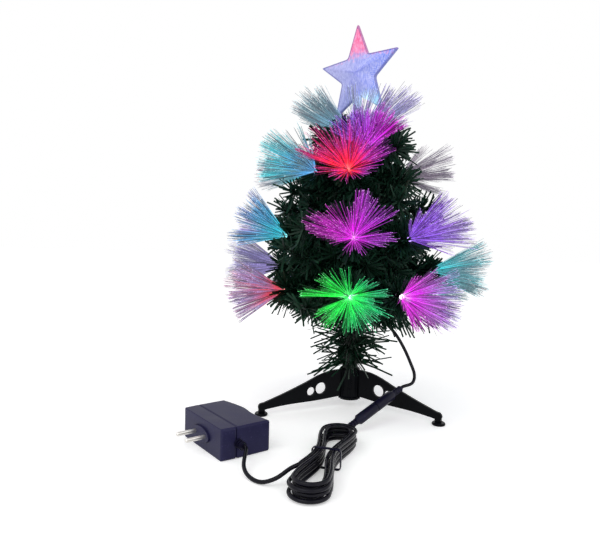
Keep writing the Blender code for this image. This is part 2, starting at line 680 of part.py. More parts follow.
def branch_mesh(name, tier_name):
    """Return a branch: ball end, twisted stem with bands of needles, and the lamp at the tip."""
    bend, run_start, end, _ = branch_path(tier_name)
    first = bent_point(bend, run_start, NEEDLE_BAND_SHARES[0] / 2).normalized()
    points, radii = [], []
    for angle in BALL_ANGLES:
        points.append(first * BALL_RADIUS * math.sin(math.radians(angle)))
        radii.append(BALL_RADIUS * math.cos(math.radians(angle)))
    points.append(first * BALL_RADIUS)
    radii.append(STEM_NECK_RADIUS)
    bands = []
    for share in NEEDLE_BAND_SHARES:
        centre = bent_point(bend, run_start, share)
        along = bent_heading(bend, run_start, share)
        bands.append((centre, along))
        points += [centre - along * NEEDLE_BAND_WIDTH / 2, centre + along * NEEDLE_BAND_WIDTH / 2]
        radii += [STEM_RADIUS, STEM_RADIUS]
    points += [run_start, end]
    radii += [STEM_RADIUS, STEM_RADIUS]
    mesh = tube_mesh(name, points, STEM_RADIUS, 1, [radius / STEM_RADIUS for radius in radii])
    bm = bmesh.new()
    bm.from_mesh(mesh)
    chosen, headings = [], []
    for band, (centre, along) in enumerate(bands):
        around = []
        for face in bm.faces:
            offset = face.calc_center_median() - centre
            if len(face.verts) == 4 and abs(offset.dot(along)) < NEEDLE_BAND_WIDTH / 4 and \
                    offset.length < STEM_RADIUS * 2:
                around.append((math.atan2(offset.y, offset.dot(along.cross(Vector((0.0, 1.0, 0.0))))), face))
        for _, face in sorted(around, key=lambda item: item[0])[band % 2::2]:
            side = (face.calc_center_median() - centre).normalized()
            lean = math.radians(NEEDLE_LEAN)
            chosen.append(face)
            headings.append(side * math.cos(lean) + along * math.sin(lean))
    grow_strands(bm, chosen, headings, [TIERS[tier_name]["needle"]] * len(chosen), NEEDLE_TIP_WIDTH)
    bm.to_mesh(mesh)
    bm.free()
    return shade(mesh)


def cup_shell(bm):
    """Model a cup in bmesh: a domed front, a skirt and a blind bore, with +Z to the front."""
    bmesh.ops.create_uvsphere(bm, u_segments=CUP_SEGMENTS, v_segments=CUP_SEGMENTS, radius=CUP_RADIUS)
    behind = [vertex for vertex in bm.verts if vertex.co.z < -MERGE_DISTANCE]
    bmesh.ops.delete(bm, geom=behind, context="VERTS")
    rim = [edge for edge in bm.edges if edge.is_boundary]
    steps = ((1.0, -CUP_SKIRT), (CUP_BORE_RADIUS / CUP_RADIUS, 0.0), (1.0, CUP_SKIRT - CUP_FLOOR))
    for scale, shift in steps:
        made = bmesh.ops.extrude_edge_only(bm, edges=rim)["geom"]
        ring = [item for item in made if isinstance(item, bmesh.types.BMVert)]
        for vertex in ring:
            vertex.co = Vector((vertex.co.x * scale, vertex.co.y * scale, vertex.co.z + shift))
        rim = [item for item in made if isinstance(item, bmesh.types.BMEdge) and item.is_boundary]
    bmesh.ops.holes_fill(bm, edges=rim, sides=0)
    bmesh.ops.recalc_face_normals(bm, faces=bm.faces)


def spray_mesh(name, tier, seed):
    """Return a cup with its fibres, which fan out about +Z, wider across than up."""
    rng = np.random.default_rng(seed)
    bm = bmesh.new()
    cup_shell(bm)
    ring_angle = HALF_TURN / CUP_SEGMENTS
    widest = (FIBRE_RINGS - 0.5) * ring_angle
    roots = []
    for face in bm.faces:
        centre = face.calc_center_median()
        if centre.z <= MERGE_DISTANCE:
            continue
        polar = math.degrees(math.atan2(centre.xy.length, centre.z))
        around = math.atan2(centre.y, centre.x)
        ring = int(polar / ring_angle)
        segment = int((math.degrees(around) % FULL_TURN) / (FULL_TURN / CUP_SEGMENTS))
        if ring >= FIBRE_RINGS or (ring + segment) % 2:
            continue
        share = min(1.0, polar / widest)
        side = math.radians(tier["side_spread"]) * share * math.cos(around)
        lift = math.radians(tier["rise_spread"]) * share * math.sin(around)
        roots.append((ring, segment, face, Vector((math.tan(side), math.tan(lift), 1.0)).normalized()))
    # The faces' own order can change between runs, so the lengths follow ring and segment.
    roots.sort(key=lambda root: root[:2])
    chosen = [face for _, _, face, _ in roots]
    headings = [heading for _, _, _, heading in roots]
    lengths = [tier["fibre"] * (1.0 - FIBRE_VARIATION_SHARE * rng.random()) for _ in roots]
    grow_strands(bm, chosen, headings, lengths, FIBRE_TIP_WIDTH)
    mesh = bpy.data.meshes.new(name)
    bm.to_mesh(mesh)
    bm.free()
    return shade(mesh)


def make_branches(needle_finish, fibre_finish):
    """Make each branch on its hinge, and the cup of fibres that its lamp lights."""
    for index, (tier_name, azimuth) in enumerate(BRANCHES, start=1):
        turn = Matrix.Rotation(math.radians(azimuth), 4, "Z")
        hinge = direction(azimuth) * hinge_reach(tier_name)
        hinge.z = collar_heights()[tier_name]
        mesh = branch_mesh(f"branch_{index:02d}", tier_name)
        branch = add_part(f"branch_{index:02d}", mesh, needle_finish, Matrix.Translation(hinge) @ turn)
        _, _, end, heading = branch_path(tier_name)
        cup_at = end + heading * (CUP_FLOOR + CLEARANCE)
        cup = spray_mesh(f"spray_{index:02d}", TIERS[tier_name], index)
        spray = add_part(f"spray_{index:02d}", cup, fibre_finish)
        spray.parent = branch
        spray.matrix_local = axis_matrix(cup_at, heading)


def make_crown(finish):
    """Make the ring of fibres that sits round the trunk's tip."""
    half = CROWN_DEPTH / 2
    bore = TRUNK_TIP_RADIUS + CLEARANCE
    profile = (
        (bore, CROWN_HEIGHT + half), (CROWN_RADIUS - CROWN_BEVEL, CROWN_HEIGHT + half),
        (CROWN_RADIUS, CROWN_HEIGHT + half - CROWN_BEVEL), (CROWN_RADIUS, CROWN_HEIGHT),
        (CROWN_RADIUS, CROWN_HEIGHT - half + CROWN_BEVEL),
        (CROWN_RADIUS - CROWN_BEVEL, CROWN_HEIGHT - half), (bore, CROWN_HEIGHT - half),
    )
    mesh = turned_mesh("crown_spray", profile, CROWN_STEPS, closed=True)
    bm = bmesh.new()
    bm.from_mesh(mesh)
    chosen, headings = [], []
    for face in bm.faces:
        centre = face.calc_center_median()
        azimuth = math.degrees(math.atan2(centre.y, centre.x)) % FULL_TURN
        segment = int(azimuth / (FULL_TURN / CROWN_STEPS))
        upright = abs(face.normal.z) < UPRIGHT_SHARE and centre.xy.length > (bore + CROWN_RADIUS) / 2
        row = 0 if centre.z > CROWN_HEIGHT else 1
        if upright and segment % 2 == row:
            chosen.append(face)
            headings.append(direction(azimuth, CROWN_TILTS[row]))
    grow_strands(bm, chosen, headings, [CROWN_FIBRE] * len(chosen), FIBRE_TIP_WIDTH)
    bm.to_mesh(mesh)
    bm.free()
    return add_part("crown_spray", shade(mesh), finish)


def make_star_holder(finish):
    """Make the sleeve that slips over the trunk's tip and carries the star on its pin."""
    bore = TRUNK_TIP_RADIUS + CLEARANCE
    bore_top = TRUNK_TOP + CLEARANCE
    profile = (
        (0.0, HOLDER_PIN_TOP), (HOLDER_PIN_RADIUS, HOLDER_PIN_TOP),
        (HOLDER_PIN_RADIUS, HOLDER_SHOULDER + HOLDER_CONE), (HOLDER_RADIUS, HOLDER_SHOULDER),
        (HOLDER_RADIUS, HOLDER_BOTTOM), (bore, HOLDER_BOTTOM), (bore, bore_top), (0.0, bore_top),
    )
    return add_part("star_holder", shade(turned_mesh("star_holder", profile, HOLDER_STEPS)), finish)


def star_half(bm):
    """Model the front half of the star in bmesh, facing -Y, open at its middle plane."""
    corners = 2 * STAR_POINTS
    bmesh.ops.create_cone(bm, cap_ends=False, segments=corners, radius1=STAR_RADIUS, radius2=0.0,
                          depth=STAR_BULGE)
    bmesh.ops.remove_doubles(bm, verts=bm.verts, dist=MERGE_DISTANCE)
    face_front = Matrix.Rotation(math.radians(90.0), 3, "X")
    bmesh.ops.rotate(bm, verts=bm.verts, cent=(0.0, 0.0, 0.0), matrix=face_front)
    top_point = Vector((0.0, 1.0))
    for vertex in bm.verts:
        reach = Vector((vertex.co.x, vertex.co.z))
        if reach.length < STAR_RADIUS / 2:
            vertex.co.y = -STAR_BULGE - STAR_RIM / 2
            continue
        turn = math.degrees(reach.angle_signed(top_point))
        step = round(turn / (FULL_TURN / corners))
        if step % 2:
            vertex.co.x *= STAR_CROTCH_SHARE
            vertex.co.z *= STAR_CROTCH_SHARE
        vertex.co.y = -STAR_RIM / 2
    rim = [edge for edge in bm.edges if edge.is_boundary]
    made = bmesh.ops.extrude_edge_only(bm, edges=rim)["geom"]
    for vertex in (item for item in made if isinstance(item, bmesh.types.BMVert)):
        vertex.co.y = 0.0


def make_star(finish):
    """Make the five-pointed star, turned and rolled as it sits, with its upright boss."""
    bm = bmesh.new()
    star_half(bm)
    mesh = bpy.data.meshes.new("star")
    bmesh.ops.recalc_face_normals(bm, faces=bm.faces)
    bm.to_mesh(mesh)
    bm.free()
    form = bpy.data.objects.new("star_form", mesh)
    GUIDES.objects.link(form)
    mirror = form.modifiers.new("back", "MIRROR")
    mirror.use_axis = (False, True, False)
    mirror.merge_threshold = MERGE_DISTANCE
    whole = evaluated_mesh(form, "star")
    whole.transform(Matrix.Rotation(math.radians(STAR_TURN), 4, "Z")
                    @ Matrix.Rotation(math.radians(-STAR_ROLL), 4, "Y"))
    place = Matrix.Translation((0.0, 0.0, STAR_CENTRE))
    star = add_part("star", shade(whole, STAR_SHADE_ANGLE), finish, place)
    boss_bottom = HOLDER_SHOULDER + HOLDER_CONE + CLEARANCE
    boss = cylinder_guide("star_boss", BOSS_RADIUS, boss_bottom, BOSS_TOP, segments=16)
    bore = cylinder_guide("star_bore", HOLDER_PIN_RADIUS + CLEARANCE, boss_bottom - CUT_OVERRUN,
                          HOLDER_PIN_TOP + CLEARANCE, segments=16)
    boolean(star, boss, "UNION")
    boolean(star, bore, "DIFFERENCE")
    return star


def boot_profile(base, length, tip_radius, rib_radius, ribs):
    """Return a ribbed boot's outer profile, from its wide end at base down to its tip."""
    points = []
    pitch = length / ribs
    for index in range(ribs):
        top = base - index * pitch
        rib_top, rib_bottom, groove = (top - pitch * share for share in BOOT_RIB_SHARES)
        points += [(rib_radius, rib_top), (rib_radius, rib_bottom), (tip_radius, groove)]
    points.append((tip_radius, base - length))
    return points


def connector_body(front):
    """Return the outer profile of one half of the connector, cord end at zero height."""
    return [
        (CONNECTOR_RADIUS - CONNECTOR_BEVEL, front), (CONNECTOR_RADIUS, front - CONNECTOR_BEVEL),
        (CONNECTOR_RADIUS, BOOT_LENGTH + BOOT_SHOULDER), (BOOT_RIB_RADIUS, BOOT_LENGTH),
        *boot_profile(BOOT_LENGTH, BOOT_LENGTH, BOOT_RADIUS, BOOT_RIB_RADIUS, BOOT_RIBS),
    ]


def make_connector(finish):
    """Make the jack on the lead and the plug that its barrel seats in."""
    axis = CONNECTOR_END - CONNECTOR_START
    half = axis.length / 2
    bore = BARREL_RADIUS + CLEARANCE
    jack_front = half - CLEARANCE / 2
    jack_floor = jack_front - BARREL_LENGTH - CLEARANCE * 2
    pin_top = jack_front - CENTRE_PIN_SETBACK
    jack = [(0.0, pin_top), (CENTRE_PIN_RADIUS, pin_top), (CENTRE_PIN_RADIUS, jack_floor), (bore, jack_floor),
            (bore, jack_front), *connector_body(jack_front), (0.0, 0.0)]
    jack_mesh = shade(turned_mesh("jack", jack, CONNECTOR_STEPS))
    add_part("jack", jack_mesh, finish, axis_matrix(CONNECTOR_START, axis))
    plug_front = half - CLEARANCE / 2
    barrel_top = plug_front + BARREL_LENGTH
    plug = [(0.0, plug_front), (BARREL_BORE_RADIUS, plug_front), (BARREL_BORE_RADIUS, barrel_top),
            (BARREL_RADIUS, barrel_top), (BARREL_RADIUS, plug_front), *connector_body(plug_front), (0.0, 0.0)]
    plug_mesh = shade(turned_mesh("plug", plug, CONNECTOR_STEPS))
    add_part("plug", plug_mesh, finish, axis_matrix(CONNECTOR_END, -axis))


def cord_ends(start, start_heading, end, end_heading):
    """Return the places of a cord that leaves and arrives straight for one diameter."""
    straight = 2 * CORD_RADIUS
    first = start + start_heading * CLEARANCE
    last = end - end_heading * CLEARANCE
    return [first, first + start_heading * straight], [last - end_heading * straight, last]


def make_cord(name, start, start_heading, route, end, end_heading, finish):
    """Make one free stretch of cord through its hand-chosen route."""
    head, tail = cord_ends(start, start_heading, end, end_heading)
    places = head + [Vector(place) * MM for place in route] + tail
    points = smooth_through(places, CORD_POINT_SPACING)
    add_part(name, shade(tube_mesh(name, points, CORD_RADIUS, 2)), finish)
    length = sum((b - a).length for a, b in zip(points, points[1:]))
    print(f"{name}: {len(points)} points, {length / MM:.0f} mm long")


def hank_height(angle):
    """Return the height of the hank's centreline: it climbs a layer in each half turn of reversal."""
    height = HANK_FLOOR_HEIGHT
    for knot in HANK_TURN_ANGLES[1:-1]:
        share = min(1.0, max(0.0, (angle - knot) / HALF_TURN + 0.5))
        height += HANK_LAYER_RISE * share * share * (3 - 2 * share)
    return height


def hank_plan_point(angle, lobe_radius, waist_half_width):
    """Return a loop's place along and across the hank: a round lobe at each end, and a waist."""
    if angle > HALF_TURN:
        end, side = hank_plan_point(FULL_TURN - angle, lobe_radius, waist_half_width)
        return end, -side
    if angle > HALF_TURN / 2:
        end, side = hank_plan_point(HALF_TURN - angle, lobe_radius, waist_half_width)
        return -end, side
    if angle <= HANK_LOBE_ANGLE:
        bend = math.radians(angle / HANK_LOBE_ANGLE * HALF_TURN / 2)
        return HANK_RUN_HALF_LENGTH + lobe_radius * math.cos(bend), lobe_radius * math.sin(bend)
    share = (HALF_TURN / 2 - angle) / (HALF_TURN / 2 - HANK_LOBE_ANGLE)
    drawn_in = (1 + math.cos(math.pi * share)) / 2
    return HANK_RUN_HALF_LENGTH * share, lobe_radius + (waist_half_width - lobe_radius) * drawn_in


def hank_point(angle):
    """Return the hank's centreline at an angle in degrees, counted through all its loops."""
    inward = 0.0
    for index, (start, end) in enumerate(zip(HANK_TURN_ANGLES, HANK_TURN_ANGLES[1:])):
        passed = min(max(angle, start), end) - start
        inward += (passed if index % 2 == 0 else -passed) / FULL_TURN
    end, side = hank_plan_point(angle % FULL_TURN, HANK_LOBE_RADIUS - HANK_STEP * inward,
                                HANK_WAIST_HALF_WIDTH - HANK_WAIST_STEP * inward)
    place = direction(HANK_AZIMUTH) * end + direction(HANK_AZIMUTH + 90.0) * side
    return Vector((HANK_CENTRE.x + place.x, HANK_CENTRE.y + place.y, hank_height(angle)))


def hank_points():
    """Return the hank's points, with a straight run of one diameter at each end."""
    first, last = HANK_TURN_ANGLES[0], HANK_TURN_ANGLES[-1]
    count = round((last - first) / FULL_TURN * HANK_POINTS_A_LOOP)
    loop = [hank_point(first + (last - first) * index / count) for index in range(count + 1)]
    straight = 2 * CORD_RADIUS
    head = loop[0] + (loop[0] - loop[1]).normalized() * straight
    tail = loop[-1] + (loop[-1] - loop[-2]).normalized() * straight
    return [head, *loop, tail]


def least_gap(points, radius, apart):
    """Return the least gap between stretches of a tube that lie at least some points apart."""
    places = np.array([tuple(point) for point in points])
    starts, ends = places[:-1], places[1:]
    runs = ends - starts
    least = math.inf
    for index, place in enumerate(places):
        shares = np.clip(((place - starts) * runs).sum(axis=1) / (runs * runs).sum(axis=1), 0.0, 1.0)
        distances = np.linalg.norm(starts + runs * shares[:, None] - place, axis=1)
        far = np.abs(np.arange(len(starts)) - index) > apart
        least = min(least, distances[far].min())
    return least - 2 * radius


def make_hank(finish, tie_finish):
    """Make the hank as one unbroken tube, and the tie that draws it in at the waist."""
    points = hank_points()
    add_part("cord_hank", shade(tube_mesh("cord_hank", points, CORD_RADIUS, 1)), finish)
    length = sum((b - a).length for a, b in zip(points, points[1:]))
    gap = least_gap(points, CORD_RADIUS, HANK_POINTS_A_LOOP // 4)
    print(f"cord_hank: {len(points)} points, {length / MM:.0f} mm long, least gap {gap / MM:.2f} mm")
    half_width = HANK_WAIST_HALF_WIDTH + CORD_RADIUS + CLEARANCE
    top = HANK_FLOOR_HEIGHT + HANK_LAYER_RISE * (len(HANK_TURN_ANGLES) - 2) + CORD_RADIUS + CLEARANCE
    bottom = TIE_THICKNESS
    inner = rounded_outline(half_width, bottom, top, TIE_CORNER)
    outer = rounded_outline(half_width + TIE_THICKNESS, 0.0, top + TIE_THICKNESS, TIE_CORNER + TIE_THICKNESS)
    tie = outline_mesh("cord_tie", [outer, inner], TIE_WIDTH / 2)
    along = direction(HANK_AZIMUTH)
    frame = axis_matrix(Vector((HANK_CENTRE.x, HANK_CENTRE.y, 0.0)), along)
    add_part("cord_tie", shade(tie), tie_finish, frame)


def rounded_outline(half_width, bottom, top, corner):
    """Return a rounded rectangle's points, in order round it."""
    centres = ((half_width - corner, top - corner, 0.0), (corner - half_width, top - corner, 90.0),
               (corner - half_width, bottom + corner, 180.0), (half_width - corner, bottom + corner, 270.0))
    points = []
    for across, up, start in centres:
        for step in range(TIE_CORNER_POINTS):
            angle = math.radians(start + 90.0 * step / (TIE_CORNER_POINTS - 1))
            points.append((across + corner * math.cos(angle), up + corner * math.sin(angle)))
    return points


def supply_frame():
    """Return the supply's frame: +X out from its wall face, +Y along it to the far end, +Z up."""
    return Matrix.Translation((SUPPLY_CORNER.x, SUPPLY_CORNER.y, 0.0)) @ \
        Matrix.Rotation(math.radians(SUPPLY_AZIMUTH), 4, "Z")


def bevel_piece(piece, width):
    """Round the sharp edges of a piece with a small chamfer."""
    bevel = piece.modifiers.new("edges", "BEVEL")
    bevel.width = width
    bevel.segments = 2
    bevel.limit_method = "ANGLE"
    bevel.angle_limit = math.radians(40.0)


def make_supply(case_finish, pin_finish, gland_finish):
    """Make the plug-in supply: base, curved cover, pins on their carrier, and cord gland."""
    frame = supply_frame()
    middle = frame @ Matrix.Translation((0.0, 0.0, SUPPLY_WIDTH / 2))
    length, split, draft = SUPPLY_LENGTH, SUPPLY_BASE_DEPTH, SUPPLY_BASE_DRAFT
    joint = split - CLEARANCE
    base_outline = [(0.0, draft), (joint, 0.0), (joint, length), (0.0, length - draft)]
    base_mesh = outline_mesh("supply_base", [base_outline], SUPPLY_WIDTH / 2)
    base = add_part("supply_base", base_mesh, case_finish, middle)
    places = [(SUPPLY_DEPTH * depth, length * along) for along, depth in reversed(SUPPLY_FACE_SHARES)]
    cover_outline = [(split, 0.0), *smooth_edge(places, SUPPLY_FACE_STEP), (split, length)]
    cover_mesh = outline_mesh("supply_cover", [cover_outline], SUPPLY_WIDTH / 2)
    cover = add_part("supply_cover", cover_mesh, case_finish, middle)
    for piece in (base, cover):
        bevel_piece(piece, SUPPLY_BEVEL)
    seat_radius = PIN_CARRIER_RADIUS + CLEARANCE
    seat = cylinder_guide("pin_seat", seat_radius, -CUT_OVERRUN, PIN_CARRIER_SINK, segments=24)
    seat.matrix_world = frame @ pin_frame() @ Matrix.Scale(PIN_CARRIER_STRETCH_SHARE, 4, (1.0, 0.0, 0.0))
    boolean(base, seat, "DIFFERENCE")
    make_pins(pin_finish, frame)
    make_gland(gland_finish, frame)


def pin_frame():
    """Return the frame at the middle of the wall face: +Z into the supply and +X along it."""
    return axis_matrix(Vector((0.0, SUPPLY_LENGTH / 2, SUPPLY_WIDTH / 2)), Vector((1.0, 0.0, 0.0)))


def make_pins(finish, frame):
    """Make the pin carrier, sunk into the wall face, with its two round pins."""
    top = PIN_CARRIER_SINK - CLEARANCE
    carrier = cylinder_guide("pin_carrier", PIN_CARRIER_RADIUS, top - PIN_CARRIER_THICKNESS, top, segments=24)
    carrier.data.transform(Matrix.Scale(PIN_CARRIER_STRETCH_SHARE, 4, (1.0, 0.0, 0.0)))
    carrier_mesh = carrier.data
    bpy.data.objects.remove(carrier, do_unlink=True)
    pins = add_part("supply_pins", carrier_mesh, finish, frame @ pin_frame())
    root = top - PIN_CARRIER_THICKNESS / 2
    nose = PIN_RADIUS * PIN_NOSE_SHARE
    tip = top - PIN_CARRIER_THICKNESS - PIN_LENGTH
    profile = ((0.0, root), (PIN_RADIUS, root), (PIN_RADIUS, tip + nose), (nose, tip), (0.0, tip))
    for side in (-1, 1):
        shift = Matrix.Translation((side * PIN_SPACING / 2, 0.0, 0.0))
        form = turned_mesh(f"pin_form_{side}", profile, PIN_STEPS)
        pin = add_guide(f"pin_form_{side}", form, frame @ pin_frame() @ shift)
        boolean(pins, pin, "UNION")


def gland_frame():
    """Return the gland's frame on the near end face: +Z back into the supply."""
    return axis_matrix(Vector((GLAND_AT, 0.0, SUPPLY_WIDTH / 2)), Vector((0.0, 1.0, 0.0)))


def make_gland(finish, frame):
    """Make the ribbed strain relief that the cord leaves the supply by."""
    body = boot_profile(-CLEARANCE, GLAND_LENGTH, GLAND_TIP_RADIUS, GLAND_RIB_RADIUS, GLAND_RIBS)
    profile = [(0.0, -CLEARANCE), (GLAND_RADIUS, -CLEARANCE), *body, (0.0, -CLEARANCE - GLAND_LENGTH)]
    add_part("supply_gland", shade(turned_mesh("supply_gland", profile, CONNECTOR_STEPS)), finish,
             frame @ gland_frame())


def lead_start():
    """Return where the lead leaves the trunk, and its heading there."""
    heading = direction(LEAD_EXIT_AZIMUTH)
    height = collar_heights()["lower"] - LEAD_EXIT_DROP
    return heading * trunk_radius(height) + Vector((0.0, 0.0, height)), heading


def make_cords(finish, tie_finish):
    """Make the lead, the hank with its tie, and the two free stretches beside it."""
    axis = (CONNECTOR_END - CONNECTOR_START).normalized()
    start, heading = lead_start()
    make_cord("lead", start, heading, LEAD_ROUTE, CONNECTOR_START, axis, finish)
    make_hank(finish, tie_finish)
    points = hank_points()
    into_hank = (points[1] - points[0]).normalized()
    out_of_hank = (points[-1] - points[-2]).normalized()
    make_cord("plug_cord", CONNECTOR_END, axis, PLUG_CORD_ROUTE, points[0], into_hank, finish)
    gland = supply_frame() @ gland_frame()
    gland_tip = gland @ Vector((0.0, 0.0, -CLEARANCE - GLAND_LENGTH))
    into_gland = (gland.to_3x3() @ Vector((0.0, 0.0, 1.0))).normalized()
    make_cord("supply_cord", points[-1], out_of_hank, SUPPLY_CORD_ROUTE, gland_tip, into_gland, finish)


def main():
    """Build the whole tree."""
    clear_scene()
    stand = material("stand_plastic", (0.012, 0.012, 0.014), 0.35)
    needle = material("needle_foil", (0.01, 0.035, 0.018), 0.5)
    fibre = material("clear_fibre", (0.75, 0.82, 0.9), 0.15, 0.0, 0.6)
    frosted = material("frosted_star", (0.72, 0.68, 0.9), 0.3, 0.0, 0.5)
    cord = material("cord_jacket", (0.01, 0.01, 0.013), 0.45)
    connector = material("connector_plastic", (0.02, 0.018, 0.035), 0.4)
    case = material("supply_plastic", (0.028, 0.024, 0.08), 0.55)
    pin = material("pin_plating", (0.72, 0.7, 0.66), 0.3, 1.0)
    make_socket(stand)
    make_legs(stand)
    make_trunk(needle)
    make_branches(needle, fibre)
    make_crown(fibre)
    make_star_holder(frosted)
    make_star(frosted)
    make_connector(connector)
    make_supply(case, pin, connector)
    make_cords(cord, connector)


main()
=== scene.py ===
import logging
import math
from dataclasses import dataclass, field
from enum import Enum
from typing import Any, Sequence

import bmesh
import bpy
import numpy as np
from mathutils import Matrix, Vector


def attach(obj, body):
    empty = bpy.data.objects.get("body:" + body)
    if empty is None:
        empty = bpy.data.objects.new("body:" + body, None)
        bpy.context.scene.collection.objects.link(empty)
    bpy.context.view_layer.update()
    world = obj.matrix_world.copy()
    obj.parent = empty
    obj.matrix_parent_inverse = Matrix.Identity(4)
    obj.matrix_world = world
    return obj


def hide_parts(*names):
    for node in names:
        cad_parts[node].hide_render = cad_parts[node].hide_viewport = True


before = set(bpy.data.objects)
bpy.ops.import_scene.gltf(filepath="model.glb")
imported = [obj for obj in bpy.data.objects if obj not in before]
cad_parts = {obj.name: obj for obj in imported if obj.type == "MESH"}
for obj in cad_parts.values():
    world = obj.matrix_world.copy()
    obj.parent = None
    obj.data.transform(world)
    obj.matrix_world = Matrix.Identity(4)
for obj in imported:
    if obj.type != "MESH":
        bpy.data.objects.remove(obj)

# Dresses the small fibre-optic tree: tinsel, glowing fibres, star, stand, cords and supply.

Array = np.ndarray
Colour = tuple[float, float, float]
Span = tuple[float, float]
MM = 0.001
CLEARANCE = 0.3 * MM    # the play between pieces that meet
WELD = 0.0001 * MM      # corners nearer than this are one
TINY = 1e-9             # keeps the first heading of a stem from having no length
UP = np.array([0.0, 0.0, 1.0])

logging.basicConfig(level=logging.INFO, format="%(message)s")
LOG = logging.getLogger("tree")


class Row(Enum):
    """The rows of branches, from the lowest up."""

    LOWER = "lower"
    SKIRT = "skirt"
    MIDDLE = "middle"
    UPPER = "upper"
    TOP = "top"


# Surfaces


@dataclass
class Surface:
    """A mesh under construction, as whole arrays.

    marks holds three numbers for each vertex, which the finishes read.
    """

    verts: Array
    quads: Array
    tris: Array
    marks: Array
    slots: Array

    @staticmethod
    def of(verts: Array, quads: Array | None = None, tris: Array | None = None,
           marks: Array | None = None, slot: int = 0) -> "Surface":
        """Make a surface of one material slot.

        Args:
            verts: places, one row each.
            quads: corner numbers of four-sided faces.
            tris: corner numbers of three-sided faces.
            marks: three numbers for each vertex.
            slot: the material slot of its faces.

        Returns:
            The surface.
        """
        quads = np.zeros((0, 4), int) if quads is None else quads
        tris = np.zeros((0, 3), int) if tris is None else tris
        marks = np.zeros((len(verts), 3)) if marks is None else marks
        return Surface(verts, quads, tris, marks, np.full(len(quads) + len(tris), slot))

    def moved(self, turn: Array, shift: Array) -> "Surface":
        """Return the surface turned by a 3 by 3 matrix and then shifted."""
        return Surface(self.verts @ turn.T + shift, self.quads, self.tris, self.marks, self.slots)

    @staticmethod
    def joined(parts: Sequence["Surface"]) -> "Surface":
        """Return one surface that holds all the given ones.

        Args:
            parts: the surfaces, in order.

        Returns:
            The joined surface, four-sided faces first.
        """
        starts = np.cumsum([0] + [len(p.verts) for p in parts[:-1]])
        quad_slots = [p.slots[:len(p.quads)] for p in parts]
        tri_slots = [p.slots[len(p.quads):] for p in parts]
        return Surface(
            np.concatenate([p.verts for p in parts]),
            np.concatenate([p.quads + s for p, s in zip(parts, starts)]),
            np.concatenate([p.tris + s for p, s in zip(parts, starts)]),
            np.concatenate([p.marks for p in parts]),
            np.concatenate(quad_slots + tri_slots),
        )

    def to_object(self, name: str, finishes: Sequence[bpy.types.Material], weld: bool = True,
                  sharp: float = 40.0) -> bpy.types.Object:
        """Put the surface into the scene as one object at the origin.

        Args:
            name: the piece's name.
            finishes: its materials, by slot.
            weld: merge doubled corners, such as those at a pole, and turn faces outwards.
            sharp: edges sharper than this many degrees stay sharp.

        Returns:
            The new object.
        """
        mesh = bpy.data.meshes.new(name)
        mesh.from_pydata(self.verts.tolist(), [], self.quads.tolist() + self.tris.tolist())
        marks = mesh.attributes.new("marks", "FLOAT_VECTOR", "POINT")
        marks.data.foreach_set("vector", self.marks.astype(np.float32).ravel())
        mesh.polygons.foreach_set("material_index", self.slots.astype(np.int32))
        for finish in finishes:
            mesh.materials.append(finish)
        if weld:
            bm = bmesh.new()
            bm.from_mesh(mesh)
            bmesh.ops.remove_doubles(bm, verts=bm.verts, dist=WELD)
            bmesh.ops.recalc_face_normals(bm, faces=bm.faces)
            bm.to_mesh(mesh)
            bm.free()
        mesh.shade_smooth()
        mesh.set_sharp_from_angle(angle=math.radians(sharp))
        piece = bpy.data.objects.new(name, mesh)
        bpy.context.scene.collection.objects.link(piece)
        return piece


def mm(*values: float) -> tuple[float, ...]:
    """Return millimetres as metres."""
    return tuple(value * MM for value in values)


def unit(vectors: Array) -> Array:
    """Return the vectors divided by their lengths."""
    return vectors / np.linalg.norm(vectors, axis=-1, keepdims=True)


def heading(azimuth: float, elevation: float = 0.0) -> Array:
    """Return the unit vector of an azimuth and an elevation in degrees."""
    turn, lift = math.radians(azimuth), math.radians(elevation)
    return np.array([math.cos(lift) * math.cos(turn), math.cos(lift) * math.sin(turn), math.sin(lift)])


def turn_about_z(azimuth: float) -> Array:
    """Return the matrix that turns by an azimuth in degrees about +Z."""
    c, s = math.cos(math.radians(azimuth)), math.sin(math.radians(azimuth))
    return np.array([[c, -s, 0.0], [s, c, 0.0], [0.0, 0.0, 1.0]])


def axes_along(axis: Sequence[float]) -> Array:
    """Set up a frame on an axis.

    Args:
        axis: any vector that isn't upright.

    Returns:
        The matrix whose columns are level, upward and along the axis.
    """
    along = unit(np.asarray(axis, float))
    across = unit(np.cross(UP, along))
    return np.stack([across, np.cross(along, across), along], axis=1)


def around_z(radius: Array | float, angles: Array, height: Array | float) -> Array:
    """Return places at the radius times (cos, sin) of the angle and at the height, over all three arrays."""
    return np.stack(np.broadcast_arrays(radius * np.cos(angles), radius * np.sin(angles), height), axis=-1)


def grid(points: Array, slot: int = 0, marks: Array | None = None) -> Surface:
    """Join a grid of points into a tube of four-sided faces, whose last column meets the first.

    Args:
        points: rows by columns of places.
        slot: the material slot.
        marks: three numbers for each point.

    Returns:
        The tube, corner (row, column) to corner (row + 1, column + 1).
    """
    rows, columns = points.shape[:2]
    here = np.arange(rows - 1)[:, None] * columns
    across = np.arange(columns)
    after = (across + 1) % columns
    quads = np.stack([here + across, here + after, here + columns + after, here + columns + across], axis=-1)
    flat_marks = None if marks is None else marks.reshape(-1, 3)
    return Surface.of(points.reshape(-1, 3), quads.reshape(-1, 4), marks=flat_marks, slot=slot)


def closed(points: Array, first: Array, last: Array) -> Array:
    """Return the grid with one more row at each end, gathered in one place."""
    head, tail = (np.broadcast_to(place, points[:1].shape) for place in (first, last))
    return np.concatenate([head, points, tail])


